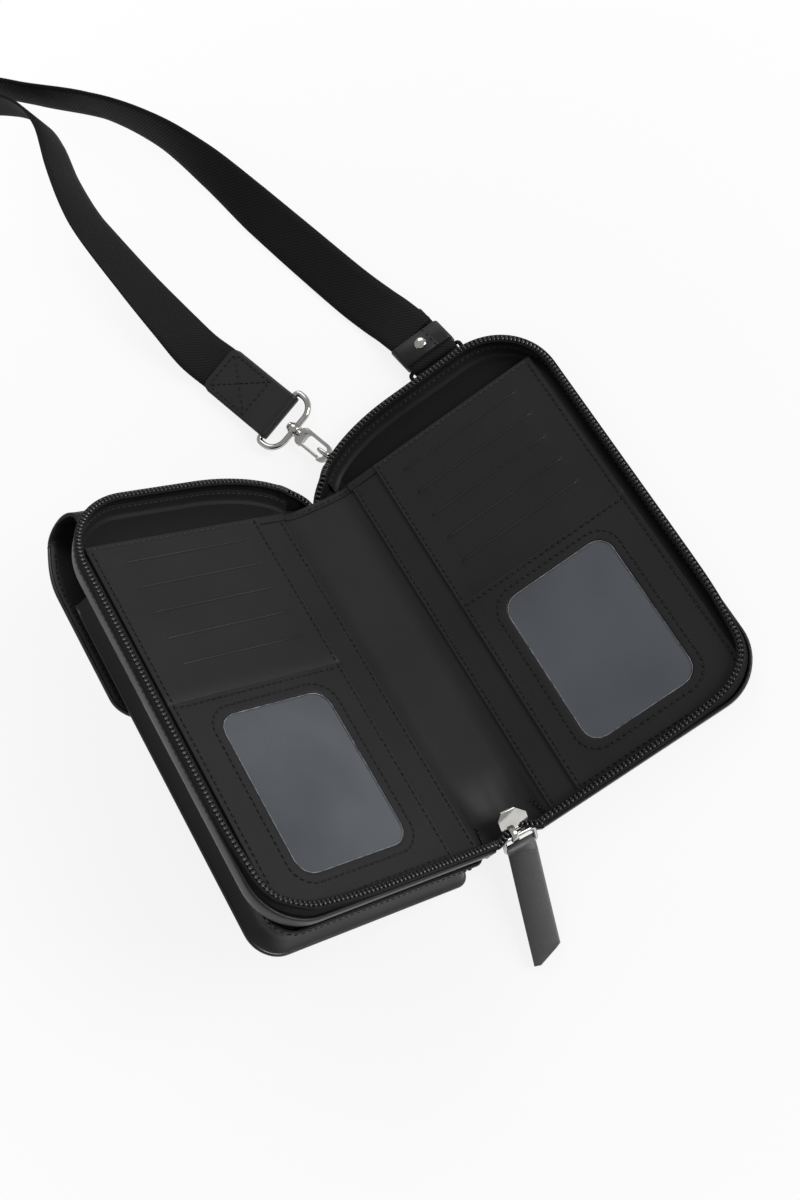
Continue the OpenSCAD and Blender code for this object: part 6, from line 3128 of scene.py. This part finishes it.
@dataclass
class Fittings:
    """The pieces on the strap: keeper with its rivet, leather end, hook frame, snap hook and gate.

    Attributes:
        strap: the strap that they are on.
        finishes: the materials.
        repeater: the tree that sets stitches and teeth.
        end_w: the leather end's width.
        end_l: its length.
        end_t: the thickness of one of its layers.
        frame_l: the length of the hook's frame.
    """

    strap: Strap
    finishes: Finishes
    repeater: Repeater
    end_w: float = 25.4
    end_l: float = 44.0
    end_t: float = 1.4
    frame_l: float = 12.0

    @property
    def place(self) -> Place:
        """The hook's place: across along the frame's bar, and along up the strap."""
        return WORLD.inside(*self.strap.hook_at, self.strap.hook_z, self.strap.hook_turn)

    @property
    def pin_place(self) -> Place:
        """The place of the hook's pin, in the middle of the frame's far bar, with up along the pin."""
        place = self.place
        return Place(place.origin - place.along * self.frame_l, place.across, place.up, place.along)

    def on_turned_end(self, x: float, y: float, z: float) -> Vector:
        """A point beside the strap ring's outer bar, leaning as the turned end does, in metres."""
        s = self.strap
        return Vector((s.ring_in + x - s.skew * y, s.ring_y + y, s.ring_z + z)) * MM

    def keeper(self) -> bpy.types.Object:
        """The leather band round both layers, with its lapped end on top.

        Returns:
            The keeper.
        """
        outer = box_outline(-13.25, 13.25, -4.05, 3.65, 2.2, 6)
        inner = box_outline(-12.2, 12.2, -2.85, 2.5, 1.2, 6)
        middle = [between(a, b, 0.25) for a, b in zip(outer, inner)]
        rings = [
            [self.on_turned_end(x, y, z) for x, z in line]
            for y, line in (
                (2.95, outer), (2.65, middle), (2.65, inner), (14.55, inner), (14.55, middle),
                (14.25, outer), (2.95, outer),
            )
        ]
        band = sharpen(loft("keeper_band", rings, caps=False), 60)
        lap = []
        for y in (2.9, 3.2, 14.0, 14.3):
            edge = 0.3 if y in (2.9, 14.3) else 0.0
            top = [(-11.2, 3.45), (-10.9, 4.15 - edge), (6.2, 4.15 - edge), (6.6, 3.5)]
            lap.append([self.on_turned_end(x, y, z) for x, z in top + [(6.4, 3.3), (-11.0, 3.3)]])
        over = sharpen(loft("keeper_lap", lap), 60)
        row = Row([self.on_turned_end(5.2, 3.6 + 10 * k / 10, 4.16) for k in range(11)], Vector((0, 0, 1)))
        stitches = self.repeater.sew("keeper_stitches", [row], Stitching.KEEPER, self.finishes.thread)
        parts = [dressed(part, self.finishes.shell) for part in (band, over)]
        obj = join("keeper_leather", parts + [stitches])
        return finish_piece(obj, "right_half", self.finishes.shell, ["keeper"])

    def rivet(self) -> bpy.types.Object:
        """The domed rivet on the keeper, with its rim.

        Returns:
            The rivet.
        """
        centre = self.on_turned_end(0, 8.6, 3.7) / MM
        place = WORLD.inside(*centre)
        dome = [(0.01, 1.75)] + [
            (3.0 * math.sin(math.radians(8 * k)), 0.55 + 1.2 * math.cos(math.radians(8 * k)))
            for k in range(1, 11)
        ]
        profile = [(0.01, 0.1), (3.2, 0.1), (3.3, 0.25), (3.2, 0.45)] + dome[::-1]
        obj = revolve("keeper_rivet_dome", place, profile)
        return finish_piece(obj, "right_half", self.finishes.nickel, ["keeper_rivet"])

    def leather_end(self) -> bpy.types.Object:
        """The leather folded round the frame's bar and sewn over the webbing with a boxed cross.

        Returns:
            The leather end.
        """
        place = self.place
        r = 1.5 + 0.15 + self.end_t
        low = self.strap.lift - self.strap.hook_z
        high = low + 2 * self.end_t + self.strap.thickness + 0.3
        half, corner, rings = self.end_w / 2, 4.5, []
        steps = 36
        for j in range(steps + 1):
            x = -half + self.end_w * j / steps
            out = half - abs(x)
            far = self.end_l - (corner - math.sqrt(max(0.0, corner ** 2 - max(0.0, corner - out) ** 2)))
            edge = 0.45 if j in (0, steps) else 0.0
            ring = []
            for k in range(9):
                ring.append((far - (far - 5.0) * k / 8, low + edge))
            ring += [
                ((r - edge) * math.cos(a), (r - edge) * math.sin(a))
                for a in (math.radians(-100 - 160 * k / 14) for k in range(15))
            ]
            for k in range(1, 25):
                u = k / 24
                y = r * 0.2 + (far - r * 0.2) * u
                settle = eased(clamp(y / 9.0))
                z = (r - edge) * (1 - settle) + (high - edge) * settle + 0.12 * math.sin(u * 9.0) * (1 - u)
                ring.append((y, z))
            ring.append((far, (low + high) / 2))
            rings.append([place.at(x, y, z) for y, z in ring])
        leather = sharpen(loft("leather_end_skin", rings), 62)
        x0, x1, y0, y1, z = -half + 2.6, half - 2.6, 15.5, self.end_l - 3.0, high + 0.04
        cut = 1.8
        box = [(x0, y0), (x1, y0), (x1, y1 - cut), (x1 - cut, y1), (x0 + cut, y1), (x0, y1 - cut), (x0, y0)]
        lines = [
            box, [(x0, y0), (x1 - cut * 0.5, y1 - cut * 0.5)], [(x1, y0), (x0 + cut * 0.5, y1 - cut * 0.5)],
        ]
        rows = [
            Row(
                [place.at(p.x, p.y, z) for p in resample([Vector((x, y, 0)) for x, y in line], 1.5)],
                Vector((0, 0, 1)),
            )
            for line in lines
        ]
        stitches = self.repeater.sew(
            "leather_end_stitches", rows, Stitching.STRAP_END, self.finishes.thread,
        )
        obj = join("leather_end", [dressed(leather, self.finishes.shell), stitches])
        return finish_piece(obj, "right_half", self.finishes.shell, ["strap_leather_end"])

    def frame(self) -> bpy.types.Object:
        """The hook's wire frame with the barrel that its pin turns in.

        Returns:
            The frame.
        """
        line = resample_loop(ring_line(self.place, 30, self.frame_l, 2.2, 8.0), 0.7)
        wire = tube("hook_frame_wire", line, 1.5, 18, True)
        barrel = revolve(
            "hook_frame_barrel", self.pin_place,
            [(0.4, -2.5), (2.6, -2.5), (3.0, -2.1), (3.0, 1.6), (2.5, 2.3), (1.8, 2.5), (0.4, 2.5)],
        )
        obj = join("hook_frame_metal", [wire, barrel])
        return finish_piece(obj, "right_half", self.finishes.nickel, ["hook_frame"])

    def hook(self) -> bpy.types.Object:
        """The snap hook: its pin with the head inside the frame, collar, neck and hooked body.

        Returns:
            The hook.
        """
        place = self.place
        pin = revolve("snap_hook_pin", self.pin_place, [
            (0.3, 4.1), (1.6, 4.0), (2.15, 3.5), (2.2, 3.1), (1.9, 2.75), (1.2, 2.65), (1.2, -2.65),
            (1.9, -2.75), (2.2, -3.1), (2.15, -3.6), (1.7, -3.95), (1.5, -4.8), (1.3, -5.6), (0.4, -5.8),
        ])
        body = [(-4.75, -31.9)]
        body += arc(-0.35, -31.8, 4.4, 4.4, 180, 270, 10) + arc(0.35, -31.8, 4.4, 4.4, 270, 360, 10)
        body += arc(1.35, -18.6, 3.4, 3.4, 0, 90, 8) + arc(-1.35, -18.6, 3.4, 3.4, 90, 180, 8)
        body += [(-4.75, -19.3), (-2.15, -19.3), (-2.15, -20.05)]
        body += arc(1.2, -21.8, 1.8, 1.8, 90, 0, 6) + arc(1.2, -32.0, 1.8, 1.8, 0, -90, 6)
        body += arc(-1.0, -32.0, 1.8, 1.8, -90, -140, 4) + [(-2.6, -31.9)]
        plate = slab("snap_hook_plate", place, body, -1.2, 1.2, 0.55)
        knob = revolve(
            "snap_hook_knob", Place(place.at(2.6, -18.4, 0) / MM, place.across, place.along, place.up),
            [(0.01, -1.55), (0.9, -1.5), (1.1, -1.2), (1.1, 1.2), (0.9, 1.5), (0.01, 1.55)], 18,
        )
        obj = join("snap_hook_metal", [pin, plate, knob])
        return finish_piece(obj, "snap_hook", self.finishes.nickel, ["snap_hook"])

    def gate(self) -> bpy.types.Object:
        """The sprung gate that closes the hook.

        Returns:
            The gate.
        """
        place = self.place
        pivot = revolve(
            "hook_gate_pivot", Place(place.at(-3.3, -19.4, 0) / MM, place.across, place.along, place.up),
            [(0.01, -1.3), (0.9, -1.25), (1.0, -1.1), (1.0, 1.1), (0.9, 1.25), (0.01, 1.3)], 18,
        )
        lever = slab("hook_gate_lever", place, box_outline(-4.1, -2.5, -31.35, -19.0, 0.7, 5), -1.1, 1.1, 0.4)
        obj = join("hook_gate_metal", [pivot, lever])
        return finish_piece(obj, "hook_gate", self.finishes.nickel, ["hook_gate"])

    def build(self) -> None:
        s = self.strap
        ribbon = finish_piece(s.ribbon(), "right_half", self.finishes.webbing, ["strap_webbing"])
        turned = finish_piece(
            s.turned_end(), "right_half", self.finishes.webbing, ["strap_turned_end"],
        )
        pieces = [
            turned, self.keeper(), self.rivet(), self.leather_end(), self.frame(), self.hook(), self.gate(),
        ]
        path = s.route()


# The whole pouch


def main() -> None:
    """Load the frame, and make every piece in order."""
    logging.basicConfig(level=logging.INFO, format="%(message)s")
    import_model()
    Studio().build()
    finishes = Finishes()
    repeater = Repeater()
    Fittings(Strap(), finishes, repeater).build()
    Rings(finishes).build()
    for side in Side:
        Half(side, finishes, repeater).build()
    Spine(finishes, repeater).build()
    Slider(finishes, repeater).build()
    Pocket(finishes, repeater).build()


if __name__ == "__main__":
    main()
